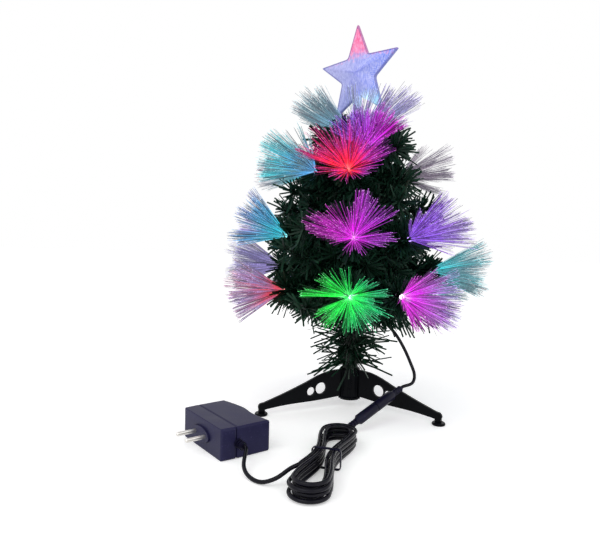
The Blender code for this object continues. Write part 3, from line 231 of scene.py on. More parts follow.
def turned(profile: Sequence[Span], steps: int = 48, slot: int = 0) -> Surface:
    """Turn a profile about +Z: each point is radius times (cos, sin) of the angle, at its height.

    Args:
        profile: radius and height of each point.
        steps: points round the axis.
        slot: the material slot.

    Returns:
        The turned sheet.
    """
    line = np.asarray(profile, float)
    angles = np.linspace(0.0, 2 * math.pi, steps, endpoint=False)
    return grid(around_z(line[:, :1], angles, line[:, 1:]), slot)


def arc(radius: float, end: float, count: int) -> list[Span]:
    """Return a round profile of so many points, from its pole to an angle in radians."""
    return [(radius * math.sin(angle), radius * math.cos(angle)) for angle in np.linspace(0.0, end, count)]


def section(side: Array, normal: Array, angles: Array, flatness: float = 1.0) -> Array:
    """Return the offsets round each centre: side by the cosine, normal by the sine and the flatness."""
    return side[:, None] * np.cos(angles)[:, None] + normal[:, None] * np.sin(angles)[:, None] * flatness


def strands(roots: Array, headings: Array, lengths: Array, width: float, sag: Array, marks: Array,
            segments: int, flatness: float = 1.0, tip_share: float = 0.6, slot: int = 0) -> Surface:
    """Grow three-sided strands, each root + heading * length * t, bent by sag * length * t squared.

    Args:
        roots: where each strand starts.
        headings: the unit direction of each at its root.
        lengths: the length of each.
        width: the width at the root.
        sag: how far each tip bends from its straight line, as a share of its length.
        marks: two numbers for each strand, put after the share along it; the second also rolls its section.
        segments: steps along a strand.
        flatness: thickness as a share of width.
        tip_share: width at the tip as a share of that at the root.
        slot: the material slot.

    Returns:
        The strands, each a closed tube.
    """
    count, rings = len(roots), segments + 1
    share = np.linspace(0.0, 1.0, rings)[None, :, None]
    reach = lengths[:, None, None]
    line = roots[:, None] + headings[:, None] * reach * share + sag[:, None] * reach * share ** 2
    steep = np.abs(headings[:, 2:]) > 0.9
    side = unit(np.cross(headings, np.where(steep, np.array([1.0, 0.0, 0.0]), UP)))
    normal = np.cross(headings, side)
    roll = marks[:, 1:] * math.pi
    side, normal = side * np.cos(roll) + normal * np.sin(roll), normal * np.cos(roll) - side * np.sin(roll)
    around = section(side, normal, np.arange(3) * 2 * math.pi / 3, flatness)
    radius = width / 2 * (1.0 - (1.0 - tip_share) * share)
    points = line[:, :, None] + around[:, None] * radius[..., None]
    base = (np.arange(count) * rings * 3)[:, None, None]
    ring = base + (np.arange(segments) * 3)[None, :, None]
    corner = np.arange(3)
    after = (corner + 1) % 3
    quads = np.stack([ring + corner, ring + after, ring + 3 + after, ring + 3 + corner], axis=-1)
    ends = base[:, 0, :] + np.array([[2, 1, 0]])
    tips = base[:, 0, :] + segments * 3 + np.array([[0, 1, 2]])
    along = np.broadcast_to(share[:, :, 0, None], (count, rings, 3))
    extra = np.broadcast_to(marks[:, None, None, :], (count, rings, 3, 2))
    flat = np.concatenate([along[..., None], extra], axis=-1).reshape(-1, 3)
    return Surface.of(points.reshape(-1, 3), quads.reshape(-1, 4), np.concatenate([ends, tips]), flat, slot)


def resampled(corners: Sequence[Span], spacing: float, rounding: float) -> Array:
    """Walk round a closed outline in even steps and round its corners by a moving average.

    Args:
        corners: the outline's corners.
        spacing: the step.
        rounding: the width of the average, which sets how round the corners get.

    Returns:
        The points round the outline.
    """
    loop = np.asarray([*corners, corners[0]], float)
    lengths = np.concatenate([[0.0], np.cumsum(np.linalg.norm(np.diff(loop, axis=0), axis=1))])
    places = np.linspace(0.0, lengths[-1], int(lengths[-1] / spacing), endpoint=False)
    points = np.stack([np.interp(places, lengths, loop[:, axis]) for axis in (0, 1)], axis=1)
    half = max(1, int(rounding / spacing / 2))
    return np.mean([np.roll(points, shift, axis=0) for shift in range(-half, half + 1)], axis=0)


def smooth_through(places: Sequence[Sequence[float]], spacing: float) -> Array:
    """Run a smooth curve through places: each stretch blends its ends and their headings.

    Args:
        places: the points that the curve passes.
        spacing: about how far apart its points are.

    Returns:
        The points on the curve.
    """
    knots = np.asarray(places, float)
    padded = np.concatenate([[knots[0] * 2 - knots[1]], knots, [knots[-1] * 2 - knots[-2]]])
    runs = [knots[:1]]
    for before, start, end, after in zip(padded, padded[1:], padded[2:], padded[3:]):
        count = max(1, round(float(np.linalg.norm(end - start)) / spacing))
        share = (np.arange(1, count + 1) / count)[:, None]
        blend = 3 * share ** 2 - 2 * share ** 3
        swing = (end - before) / 2 * (share ** 3 - 2 * share ** 2 + share) + \
            (after - start) / 2 * (share ** 3 - share ** 2)
        runs.append(start * (1 - blend) + end * blend + swing)
    return np.concatenate(runs)


def seat(piece: bpy.types.Object, body: str, nodes: Sequence[str]) -> bpy.types.Object:
    """Let a piece ride on a body and stand for the nodes that it replaces.

    Args:
        piece: the piece.
        body: the body's name.
        nodes: the replaced nodes' names, if any.

    Returns:
        The same piece.
    """
    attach(piece, body)
    if nodes:
        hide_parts(*nodes)
    return piece


# Finishes


class Signal:
    """A shader socket that takes part in Python sums; each operator adds a Math node."""

    def __init__(self, shader: "Shader", socket: bpy.types.NodeSocket) -> None:
        """Wrap a socket of a shader."""
        self.shader = shader
        self.socket = socket

    def __add__(self, other: "Signal | float") -> "Signal":
        """Add."""
        return self.shader.math("ADD", self, other)

    __radd__ = __add__

    def __sub__(self, other: "Signal | float") -> "Signal":
        """Take away."""
        return self.shader.math("SUBTRACT", self, other)

    def __rsub__(self, other: "Signal | float") -> "Signal":
        """Take this from another."""
        return self.shader.math("SUBTRACT", other, self)

    def __mul__(self, other: "Signal | float") -> "Signal":
        """Multiply."""
        return self.shader.math("MULTIPLY", self, other)

    __rmul__ = __mul__

    def __truediv__(self, other: "Signal | float") -> "Signal":
        """Divide."""
        return self.shader.math("DIVIDE", self, other)

    def __pow__(self, power: float) -> "Signal":
        """Raise to a power."""
        return self.shader.math("POWER", self, power)

    def ramp(self, low: float, high: float) -> "Signal":
        """Return a smooth rise from 0 at low to 1 at high."""
        return self.shader.node("ShaderNodeMapRange", {"interpolation_type": "SMOOTHSTEP"},
                                {"Value": self, "From Min": low, "From Max": high})


class Shader:
    """A material whose shader is written as Python expressions."""

    def __init__(self, name: str) -> None:
        """Start a material with one main shader node.

        Args:
            name: the material's name.
        """
        self.material = bpy.data.materials.new(name)
        self.material.use_nodes = True
        self.tree = self.material.node_tree
        self.surface = self.tree.nodes["Principled BSDF"]

    def feed(self, socket: bpy.types.NodeSocket, value: Any) -> None:
        """Link a signal to a socket, or set a plain value on it.

        Args:
            socket: the socket to feed.
            value: a signal, a number, or a colour of three numbers.
        """
        if isinstance(value, Signal):
            self.tree.links.new(value.socket, socket)
        elif isinstance(value, tuple) and len(value) == 3 and socket.type == "RGBA":
            socket.default_value = (*value, 1.0)
        else:
            socket.default_value = value

    def node(self, kind: str, settings: dict[str, Any] | None = None,
             inputs: dict[str | int, Any] | None = None, output: str | int = 0) -> Signal:
        """Add any node.

        Args:
            kind: the node's type.
            settings: its own settings, set first.
            inputs: values or links of its sockets.
            output: which of its outputs to return.

        Returns:
            The chosen output.
        """
        made = self.tree.nodes.new(kind)
        for key, value in (settings or {}).items():
            setattr(made, key, value)
        for key, value in (inputs or {}).items():
            self.feed(made.inputs[key], value)
        return Signal(self, made.outputs[output])

    def math(self, operation: str, first: Signal | float, second: Signal | float) -> Signal:
        """Add a Math node."""
        return self.node("ShaderNodeMath", {"operation": operation}, {0: first, 1: second})

    def mix(self, share: Signal | float, first: Any, second: Any) -> Signal:
        """Blend two colours."""
        return self.node("ShaderNodeMix", {"data_type": "RGBA"}, {0: share, 6: first, 7: second}, 2)

    def scaled(self, colour: Any, amount: Signal | float) -> Signal:
        """Multiply a colour by an amount."""
        return self.mix(amount, (0.0, 0.0, 0.0), colour)

    def place(self) -> Signal:
        """Return the object's own coordinates, in metres."""
        return self.node("ShaderNodeTexCoord", output="Object")

    def split(self, vector: Signal) -> tuple[Signal, Signal, Signal]:
        """Return a vector's three parts."""
        return tuple(self.node("ShaderNodeSeparateXYZ", inputs={0: vector}, output=part) for part in range(3))

    def marks(self) -> tuple[Signal, Signal, Signal]:
        """Return the three numbers that each vertex of a strand carries."""
        return self.split(self.node("ShaderNodeAttribute", {"attribute_name": "marks"}, output="Vector"))

    def noise(self, scale: float, detail: float = 3.0, place: Signal | None = None) -> Signal:
        """Return a noise of the given scale over the object's coordinates or another place."""
        return self.node("ShaderNodeTexNoise",
                         inputs={"Vector": place or self.place(), "Scale": scale, "Detail": detail})

    def bump(self, height: Signal, depth: float, strength: float = 0.5) -> Signal:
        """Return a normal that a height disturbs."""
        return self.node("ShaderNodeBump", inputs={"Height": height, "Distance": depth, "Strength": strength},
                         output="Normal")

    def dressed(self, **inputs: Any) -> bpy.types.Material:
        """Feed the main shader's sockets.

        Args:
            inputs: what feeds each socket, named with _ for a space.

        Returns:
            The material.
        """
        for key, value in inputs.items():
            self.feed(self.surface.inputs[key.replace("_", " ")], value)
        return self.material


@dataclass(frozen=True)
class Moulded:
    """Moulded plastic or rubber: a base colour, fine grain, and dull and glossy patches."""

    name: str
    colour: Colour
    worn: Colour
    roughness: float
    grain_scale: float
    grain_depth: float
    metallic: float = 0.0
    shine: float = 0.5

    def material(self) -> bpy.types.Material:
        """Build the finish from a fine noise for the grain and a broad one for the patches.

        Returns:
            The material.
        """
        shader = Shader(self.name)
        grain = shader.noise(self.grain_scale, 2.0)
        patches = shader.noise(60.0, 4.0)
        specks = shader.noise(self.grain_scale * 0.4, 1.0).ramp(0.62, 0.78)
        colour = shader.mix(specks * 0.6 + patches.ramp(0.4, 0.9) * 0.25, self.colour, self.worn)
        return shader.dressed(Base_Color=colour, Roughness=patches * 0.2 + (self.roughness - 0.1),
                              Metallic=self.metallic, Specular_IOR_Level=self.shine,
                              Normal=shader.bump(grain, self.grain_depth))


@dataclass(frozen=True)
class Tinsel:
    """Cut-foil needles: dark green, paler and glossier towards some tips, with painted shade that darkens
    each needle towards its root.
    """

    name: str = "needle_foil"
    dark: Colour = (0.003, 0.01, 0.006)
    light: Colour = (0.01, 0.055, 0.028)

    def material(self) -> bpy.types.Material:
        """Build the finish: a needle's colour goes by the place along it and its own chance.

        Returns:
            The material.
        """
        shader = Shader(self.name)
        along, chance, _ = shader.marks()
        # painted shade: the place along each needle darkens it towards its root; its own chance varies the
        # tone at random
        colour = shader.mix(along * 0.5 + chance ** 3 * 0.5, self.dark, self.light)
        return shader.dressed(Base_Color=colour, Roughness=0.32 + chance * 0.3, Specular_IOR_Level=0.2)


@dataclass(frozen=True)
class Glow:
    """How one fan of fibres is lit: its heart, its two sides, and how strongly.

    pale is how grey its fibres look by themselves, glare how white its lamp shows, and carry how far out the
    heart's colour holds.
    """

    heart: Colour
    left: Colour
    right: Colour
    lit: float = 1.0
    lamp: Colour = (1.0, 1.0, 1.0)
    pale: float = 0.5
    glare: float = 0.15
    carry: float = 0.3

    def fibres(self, name: str) -> bpy.types.Material:
        """Build the fibres' finish: each carries more or less light, which ends in a bright tip.

        Args:
            name: the material's name.

        Returns:
            The material.
        """
        shader = Shader(name)
        along, chance, across = shader.marks()
        side = shader.mix(across.ramp(0.15, 0.85), self.left, self.right)
        tint = shader.mix(along.ramp(self.carry, 0.95), self.heart, side)
        hot = shader.mix((1.0 - along.ramp(0.03, 0.24)) * self.glare, tint, self.lamp)
        carried = chance.ramp(0.1, 0.9)
        level = ((1.0 - along) * 0.75 + 0.18) * (carried * 1.15 + 0.05) * self.lit
        specks = shader.noise(700.0, 0.0).ramp(0.64, 0.7) * (1.0 - along * 0.4) * chance
        tips = along.ramp(0.965, 0.98) * chance.ramp(0.4, 0.7)
        bright = shader.scaled(shader.mix(0.35, tint, self.lamp), 3.0 * self.lit)
        glow = shader.mix(specks * 0.8 + tips, shader.scaled(hot, level), bright)
        # painted light: each fibre's base colour brightens towards its side colour with the light it carries,
        # and stays near black where it carries little
        body = shader.mix(carried * 0.85 + 0.1, (0.012, 0.01, 0.02), side)
        return shader.dressed(Base_Color=shader.mix(self.pale, body, (0.42, 0.42, 0.5)), Roughness=0.25,
                              Specular_IOR_Level=0.2, Emission_Color=glow, Emission_Strength=1.0)

    def lens(self, name: str) -> bpy.types.Material:
        """Build the finish of the cup's glowing front.

        Args:
            name: the material's name.

        Returns:
            The material.
        """
        shader = Shader(name)
        return shader.dressed(Base_Color=shader.mix(shader.noise(900.0) * 0.4, self.lamp, self.heart),
                              Emission_Color=shader.mix(self.glare, self.heart, self.lamp),
                              Emission_Strength=(0.7 + 4.0 * self.glare) * self.lit, Roughness=0.2)


@dataclass(frozen=True)
class StarGlow:
    """Frosted star: a pink top arm, lavender and blue arms, and light from the lamp below, which is also
    painted into its colour as a cyan patch low on the right, with painted highlights on the rib crests.
    """

    centre: float
    radius: float

    def material(self) -> bpy.types.Material:
        """Build the finish from the height and the side of each point.

        Returns:
            The material.
        """
        shader = Shader("frosted_star")
        place = shader.place()
        x, _, z = shader.split(place)
        _, ridge, edge = shader.marks()
        height = (z - self.centre) / self.radius
        across = x / self.radius
        mottled = shader.noise(260.0, 4.0)
        squeezed = shader.node("ShaderNodeVectorMath", {"operation": "MULTIPLY"},
                               {0: place, 1: (1.0, 1.0, 0.1)})
        lines = shader.noise(1300.0, 2.0, squeezed).ramp(0.4, 0.62)
        body = shader.mix(across.ramp(-0.7, 0.9), (0.3, 0.3, 0.62), (0.1, 0.2, 0.85))
        body = shader.mix(lines * 0.7 + mottled.ramp(0.45, 0.7) * 0.2, body, (0.5, 0.52, 0.88))
        warm = shader.mix(lines * 0.5 + mottled.ramp(0.4, 0.62) * 0.4, (0.85, 0.03, 0.22), (0.95, 0.35, 0.6))
        colour = shader.mix((height + (mottled - 0.5) * 0.5).ramp(0.24, 0.5), body, warm)
        # painted light: the lamp below lights the star's lower right, painted into its colour as cyan
        colour = shader.mix((1.0 - height.ramp(-0.8, -0.25)) * across.ramp(-0.1, 0.45) * 0.85, colour,
                            (0.35, 0.95, 0.95))
        # painted highlight: the rib crests are painted paler
        colour = shader.mix(ridge * 0.25, colour, (0.7, 0.72, 0.95))
        colour = shader.mix(edge * 0.6, colour, (0.12, 0.12, 0.33))
        lamp = shader.node("ShaderNodeVectorMath", {"operation": "DISTANCE"},
                           {0: place, 1: (0.012, -0.004, self.centre - 0.62 * self.radius)}, "Value")
        glare = 1.0 - lamp.ramp(3.0 * MM, 20.0 * MM)
        shine = shader.mix(glare ** 1.5, shader.scaled(colour, 0.16), (0.8, 1.15, 1.2))
        return shader.dressed(Base_Color=colour, Roughness=0.3, Emission_Color=shine, Emission_Strength=1.0,
                              Normal=shader.bump(mottled, 0.2 * MM, 0.4))


# Tree


@dataclass(frozen=True)
class Tier:
    """A row's sizes: collar height, lamp reach and rise, fibre and needle lengths, fan angles and lean."""

    height: float
    reach: float
    rise: float
    fibre: float
    needle: float
    tilt: float
    side_spread: float
    rise_spread: float
    lean: float = 0.0


TIERS: dict[Row, Tier] = {
    Row.LOWER: Tier(*mm(116.0, 85, 22, 66, 31.0), 1.0, 40.0, 27.0),
    Row.SKIRT: Tier(*mm(142.0, 86, 20, 68, 29.0), 4.0, 36.0, 25.0),
    Row.MIDDLE: Tier(*mm(173.0, 80, 25, 66, 31.0), 20.0, 42.0, 28.0),
    Row.UPPER: Tier(*mm(246.0, 56, 24, 66, 26.0), 16.0, 42.0, 28.0),
    Row.TOP: Tier(*mm(282.0, 30, 14, 56, 16.0), 38.0, 52.0, 14.0, -16.0),
}

CYAN: Colour = (0.05, 0.75, 0.8)
BLUE: Colour = (0.12, 0.25, 0.95)
VIOLET: Colour = (0.35, 0.12, 0.9)
LAVENDER: Colour = (0.4, 0.33, 0.75)
MAGENTA: Colour = (0.8, 0.008, 0.78)
GREY_TEAL: Colour = (0.2, 0.45, 0.48)
MAUVE: Colour = (0.42, 0.32, 0.42)
GREEN: Colour = (0.02, 0.85, 0.08)
RED: Colour = (0.95, 0.012, 0.015)

BRANCHES: tuple[tuple[Row, float, Glow], ...] = (
    (Row.LOWER, -92.0, Glow(GREEN, GREEN, (0.03, 0.75, 0.3), 1.3, (0.7, 1.0, 0.98), 0.05, 1.0)),
    (Row.LOWER, -53.0, Glow(MAGENTA, MAGENTA, LAVENDER, 1.2, pale=0.15, glare=0.7)),
    (Row.LOWER, 28.0, Glow(CYAN, GREY_TEAL, LAVENDER, 0.8)),
    (Row.LOWER, 88.0, Glow(BLUE, LAVENDER, CYAN, 0.8)),
    (Row.LOWER, 127.0, Glow(VIOLET, MAUVE, LAVENDER, 0.7)),
    (Row.LOWER, -152.0, Glow(RED, (0.85, 0.3, 0.45), LAVENDER, 0.9, pale=0.35)),
    (Row.SKIRT, -10.0, Glow(CYAN, GREY_TEAL, CYAN, 1.0, pale=0.35)),
    (Row.SKIRT, 170.0, Glow(LAVENDER, MAUVE, LAVENDER, 0.6)),
    (Row.MIDDLE, -90.0, Glow(MAGENTA, (0.75, 0.04, 0.72), (0.55, 0.06, 0.8), 1.15, pale=0.05, glare=0.3)),
    (Row.MIDDLE, -44.0, Glow(VIOLET, (0.4, 0.12, 0.85), (0.45, 0.3, 0.8), 1.1, pale=0.12)),
    (Row.MIDDLE, 54.0, Glow(CYAN, GREY_TEAL, MAUVE, 0.7)),
    (Row.MIDDLE, 122.0, Glow(BLUE, LAVENDER, GREY_TEAL, 0.7)),
    (Row.MIDDLE, -158.0, Glow(CYAN, LAVENDER, (0.08, 0.5, 0.85), 1.0, pale=0.15)),
    (Row.UPPER, -98.0, Glow(RED, (0.75, 0.03, 0.3), (0.6, 0.05, 0.75), 1.35, (1.0, 0.6, 0.5), 0.04, 0.3,
                            0.55)),
    (Row.UPPER, 24.0, Glow(MAUVE, MAUVE, (0.5, 0.42, 0.45), 0.4)),
    (Row.UPPER, 96.0, Glow(BLUE, GREY_TEAL, LAVENDER, 0.6)),
    (Row.UPPER, 168.0, Glow(CYAN, GREY_TEAL, MAUVE, 0.8)),
    (Row.UPPER, -140.0, Glow((0.1, 0.45, 0.95), CYAN, GREY_TEAL, 1.0, pale=0.2)),
    (Row.TOP, -72.0, Glow((0.65, 0.04, 0.8), VIOLET, MAGENTA, 1.1, pale=0.05)),
)

CEILING = 334.0 * MM    # no needle's line rises above it, so the star stands clear
NEEDLE_BEND = 0.06      # how far needles bend, as a share of their length
FIBRE_BEND = 0.02       # the same for fibres
NEEDLE_CUT: Span = (0.6, 1.0)    # the shortest and the longest, as shares of the stated length
TUFT_CUT: Span = (0.78, 1.0)     # the same for tufts of fibres
ROOT_SHARE = 0.97       # fibres start at this share of the radius, inside the face that they leave


def outwards(turn: Array) -> Array:
    """Return the level unit vectors at azimuths in radians."""
    return around_z(1.0, turn, 0.0)


def risen(out: Array, lift: Array) -> Array:
    """Return level headings raised by angles in radians."""
    return out * np.cos(lift)[:, None] + UP * np.sin(lift)[:, None]


def brushed(rng: np.random.Generator, along: Array, side: Array, leans: Span) -> Array:
    """Turn needles round a stem: square to it at a random angle, then leaning towards its tip.

    Args:
        rng: the random draws.
        along: the stem's heading at each needle.
        side: a unit vector square to it.
        leans: the least and the greatest lean, in degrees.

    Returns:
        The needles' headings.
    """
    around = rng.uniform(0.0, 2 * math.pi, len(along))[:, None]
    outward = side * np.cos(around) + np.cross(along, side) * np.sin(around)
    lean = np.radians(rng.uniform(*leans, len(along)))[:, None]
    return unit(outward * np.cos(lean) + along * np.sin(lean))


def foil(rng: np.random.Generator, roots: Array, headings: Array, lengths: Array, width: float,
         droop: float = NEEDLE_BEND) -> Surface:
    """Cut flat needles, each bent a little at random and drooping.

    Args:
        rng: the random draws.
        roots: where each starts.
        headings: the unit direction of each.
        lengths: the length of each.
        width: their width at the root.
        droop: how far the tips sink, as a share of the length.

    Returns:
        The needles.
    """
    sag = rng.normal(0.0, NEEDLE_BEND, (len(roots), 3)) - UP * droop
    marks = rng.random((len(roots), 2))
    return strands(roots, headings, lengths, width, sag, marks, segments=2, flatness=0.2, tip_share=0.85)


def light_guides(rng: np.random.Generator, roots: Array, headings: Array, lengths: Array, width: float,
                 sag: Array, across: Array, slot: int) -> Surface:
    """Draw out fibres, each marked with its chance of light and its place across the fan.

    Args:
        rng: the random draws.
        roots: where each starts.
        headings: the unit direction of each.
        lengths: the length of each.
        width: their width at the root.
        sag: how far each tip bends, as a share of its length.
        across: the place across, from -1 to 1.
        slot: the material slot.

    Returns:
        The fibres.
    """
    marks = np.stack([rng.random(len(roots)), 0.5 + 0.5 * across], axis=1)
    return strands(roots, headings, lengths, width, sag, marks, segments=5, tip_share=0.75, slot=slot)


@dataclass(frozen=True)
class Crop:
    """Needles of the trunk: seed, number, lowest and highest root, lengths, lifts in degrees, and ceiling."""

    seed: int
    count: int
    heights: Span
    lengths: Span
    lifts: Span
    ceiling: float = CEILING


@dataclass
class Trunk:
    """The wrapped trunk, the pole under it, and its tinsel.

    The wrap has three ribs, which wind once in a pitch and stand on a surface that lies inset.
    """

    shoulder: float = 45.3 * MM
    top: float = 336.0 * MM
    bare: float = 36.0 * MM
    base_radius: float = 9.6 * MM
    tip_radius: float = 3.4 * MM
    pole_radius: float = 4.1 * MM
    pole_bottom: float = 13.3 * MM
    collar_rise: float = 1.1 * MM
    rib: float = 0.35 * MM
    pitch: float = 9.0 * MM
    inset: float = 0.4 * MM
    wrap_rows: int = 260
    wrap_steps: int = 36
    root_depth: float = 0.6 * MM
    needle_width: float = 3.0 * MM
    crops: tuple[Crop, ...] = (
        Crop(7, 190, mm(50.0, 112.0), mm(28, 46), (-30.0, 30.0)),
        Crop(8, 1100, mm(50.0, 322.0), mm(7, 14), (-50.0, 50.0)),
        Crop(9, 2400, mm(112.0, 322.0), mm(24, 44), (-48.0, 48.0)),
        Crop(10, 130, mm(298, 312), mm(22, 32), (55.0, 70.0), 343 * MM))

    def radius(self, height: float | Array) -> float | Array:
        """Return the trunk's radius at a height: straight from its base to its bare tip."""
        share = np.clip((height - self.shoulder) / (self.top - self.bare - self.shoulder), 0.0, 1.0)
        return self.base_radius + (self.tip_radius - self.base_radius) * share

    def wrap(self) -> Surface:
        """Wind the wrap: the radius goes as the cosine of three times the angle plus a turn for each pitch.

        Returns:
            The wrap and the pole.
        """
        heights = np.linspace(self.shoulder, self.top, self.wrap_rows)[:, None]
        angles = np.linspace(0.0, 2 * math.pi, self.wrap_steps, endpoint=False)[None]
        rib = self.rib * np.cos(3 * angles + heights / self.pitch * 2 * math.pi)
        radius = self.radius(heights) - self.inset + np.where(heights < self.top - self.bare, rib, 0.0)
        wrap = closed(around_z(radius, angles, heights), UP * self.shoulder, UP * self.top)
        seated = self.shoulder + self.pole_radius
        pole = turned(((0.0, seated), (self.pole_radius, seated),
                       (self.pole_radius, self.pole_bottom), (0.0, self.pole_bottom)))
        return Surface.joined([grid(wrap), pole])

    def tinsel(self, crop: Crop) -> Surface:
        """Grow one crop of needles, which leave the wrap at all azimuths and end below its ceiling.

        Args:
            crop: the crop's sizes.

        Returns:
            The needles.
        """
        rng = np.random.default_rng(crop.seed)
        height = rng.uniform(*crop.heights, crop.count)
        out = outwards(rng.uniform(0.0, 2 * math.pi, crop.count))
        reach = rng.uniform(*crop.lengths, crop.count)
        rise = np.sin(np.radians(rng.uniform(*crop.lifts, crop.count)))
        rise = np.minimum(rise, (crop.ceiling - height) / reach)
        directions = out * np.sqrt(1.0 - rise ** 2)[:, None] + UP * rise[:, None]
        roots = out * (self.radius(height) - self.root_depth)[:, None] + UP * height[:, None]
        return foil(rng, roots, directions, reach, self.needle_width)

    def build(self, tinsel: bpy.types.Material) -> None:
        """Make the trunk and seat it in the frame.

        Args:
            tinsel: the finish of wrap and needles.
        """
        surface = Surface.joined([self.wrap(), *map(self.tinsel, self.crops)])
        piece = seat(surface.to_object("trunk_tinsel", [tinsel]), "tree", ["trunk"])
        LOG.info("trunk: %d faces", len(piece.data.polygons))


@dataclass
class Branch:
    """One branch: its twisted stem with needles, and the cup of fibres at its tip."""

    number: int
    row: Row
    azimuth: float
    glow: Glow
    trunk: Trunk
    ball_radius: float = 2.4 * MM
    stem_radius: float = 1.5 * MM
    wire_inset: float = 0.3 * MM
    wire_depth: float = 0.25 * MM
    twists: int = 7
    stem_rows: int = 90
    stem_steps: int = 12
    tip_run: float = 8.0 * MM
    tip_split: float = 0.86
    bend_share: float = 0.55
    needle_count: int = 560
    needle_width: float = 2.9 * MM
    needle_span: Span = (0.1, 0.97)
    needle_leans: Span = (8.0, 62.0)
    needle_seed: int = 100
    tuft_count: int = 38
    tuft_size: int = 18
    tuft_jitter: float = 0.09
    rim_power: float = 1.15
    root_angle: float = 50.0
    fibre_width: float = 0.46 * MM
    fullness: float = 1.2
    short_share: float = 0.28
    short_cut: Span = (0.5, 0.86)
    fine_cut: Span = (0.94, 1.0)
    bend_ahead: float = 0.3
    fibre_seed: int = 300
    cup_radius: float = 3.4 * MM
    cup_skirt: float = 7.0 * MM
    cup_bore: float = 2.0 * MM
    cup_floor: float = 0.6 * MM
    cup_steps: int = 20

    @property
    def tier(self) -> Tier:
        """The sizes of this branch's row."""
        return TIERS[self.row]

    @property
    def root(self) -> float:
        """How far the hinge lies off the trunk's axis: the collar, the play and the ball come between."""
        return self.trunk.radius(self.tier.height) + self.trunk.collar_rise + CLEARANCE + self.ball_radius

    def path(self) -> tuple[Array, Array, Array, Array]:
        """Lay out the stem from its lamp's place back to the hinge.

        Returns:
            The stem's bend, the start of its straight tip, its end and its heading.
        """
        along = heading(0.0, self.tier.tilt)
        end = np.array([self.tier.reach - self.root, 0.0, self.tier.rise])
        run_start = end - along * self.tip_run
        bend = run_start - along * np.linalg.norm(run_start) * self.bend_share
        return bend, run_start, end, along

    def hinge(self) -> Array:
        """Return the place of the hinge."""
        return heading(self.azimuth) * self.root + UP * self.tier.height

    def line(self, shares: Array) -> tuple[Array, Array]:
        """Follow the stem: a bend of two straight lines blended by the share squared, then its straight tip.

        Args:
            shares: how far out, from 0 at the hinge to 1 at the cup.

        Returns:
            Places and headings.
        """
        bend, run_start, end, along = self.path()
        inner = np.clip(shares / self.tip_split, 0.0, 1.0)[:, None]
        outer = np.clip((shares - self.tip_split) / (1 - self.tip_split), 0.0, 1.0)[:, None]
        places = bend * (2 * inner * (1 - inner)) + run_start * inner ** 2 + (end - run_start) * outer
        directions = unit(bend * (2 - 4 * inner) + run_start * (2 * inner) + TINY)
        return places, np.where(outer > 0.0, along, directions)

    def stem(self) -> Surface:
        """Sweep two twisted wires: the section's radius goes as the cosine of twice its turned angle.

        Returns:
            The stem and the ball at its root.
        """
        shares = np.linspace(0.0, 1.0, self.stem_rows)
        places, directions = self.line(shares)
        side = np.broadcast_to([0.0, 1.0, 0.0], directions.shape)
        angles = np.linspace(0.0, 2 * math.pi, self.stem_steps, endpoint=False)
        twist = shares[:, None] * 2 * math.pi * self.twists
        radius = self.stem_radius - self.wire_inset + self.wire_depth * np.cos(2 * (angles[None] - twist))
        points = places[:, None] + section(side, np.cross(directions, side), angles) * radius[..., None]
        return Surface.joined([grid(closed(points, places[0], places[-1])),
                               turned(arc(self.ball_radius, math.pi, 9), 14)])

    def needles(self) -> Surface:
        """Grow needles round the stem.

        Returns:
            The needles.
        """
        rng = np.random.default_rng(self.needle_seed + self.number)
        places, directions = self.line(rng.uniform(*self.needle_span, self.needle_count))
        side = np.broadcast_to([0.0, 1.0, 0.0], directions.shape)
        grown = brushed(rng, directions, side, self.needle_leans)
        lengths = self.tier.needle * rng.uniform(*NEEDLE_CUT, self.needle_count)
        return foil(rng, places, grown, lengths, self.needle_width, droop=0.0)

    def cup(self) -> Surface:
        """Turn the cup's sleeve and its blind bore, and the lens at its front.

        Returns:
            The cup, its lens in the second slot.
        """
        sleeve = turned(((self.cup_radius, 0.0), (self.cup_radius, -self.cup_skirt),
                         (self.cup_bore, -self.cup_skirt), (self.cup_bore, -self.cup_floor),
                         (0.0, -self.cup_floor)), self.cup_steps)
        lens = turned(arc(self.cup_radius, math.pi / 2, 7), self.cup_steps, slot=1)
        return Surface.joined([sleeve, lens])

    def fibres(self) -> Surface:
        """Fan the fibres in tufts: side and lift angles go as the spreads times the share off the middle.

        Returns:
            The fibres, in the third slot.
        """
        rng = np.random.default_rng(self.fibre_seed + self.number)
        tier, count = self.tier, self.tuft_count * self.tuft_size
        off = np.sqrt(rng.random(self.tuft_count))
        turn = rng.uniform(0.0, 2 * math.pi, self.tuft_count)
        centres = np.stack([off * np.cos(turn), off * np.sin(turn)], axis=1)
        shares = np.repeat(centres, self.tuft_size, axis=0) + rng.normal(0.0, self.tuft_jitter, (count, 2))
        off_middle = np.linalg.norm(shares, axis=1, keepdims=True)
        shares = shares / np.maximum(1.0, off_middle ** self.rim_power)
        ahead = np.ones((count, 1))
        angles = np.radians(shares * [tier.side_spread, tier.rise_spread] * self.fullness + [tier.lean, 0.0])
        grown = unit(np.concatenate([np.tan(angles), ahead], axis=1))
        across = unit(np.concatenate([shares * math.tan(math.radians(self.root_angle)), ahead], axis=1))
        lengths = tier.fibre * np.repeat(rng.uniform(*TUFT_CUT, self.tuft_count), self.tuft_size)
        trimmed = np.where(rng.random(count) < self.short_share, rng.uniform(*self.short_cut, count), 1.0)
        lengths = lengths * trimmed * rng.uniform(*self.fine_cut, count)
        sag = rng.normal(0.0, FIBRE_BEND, (count, 3)) * [1.0, 1.0, self.bend_ahead]
        return light_guides(rng, across * self.cup_radius * ROOT_SHARE, grown, lengths, self.fibre_width, sag,
                            shares[:, 0], 2)

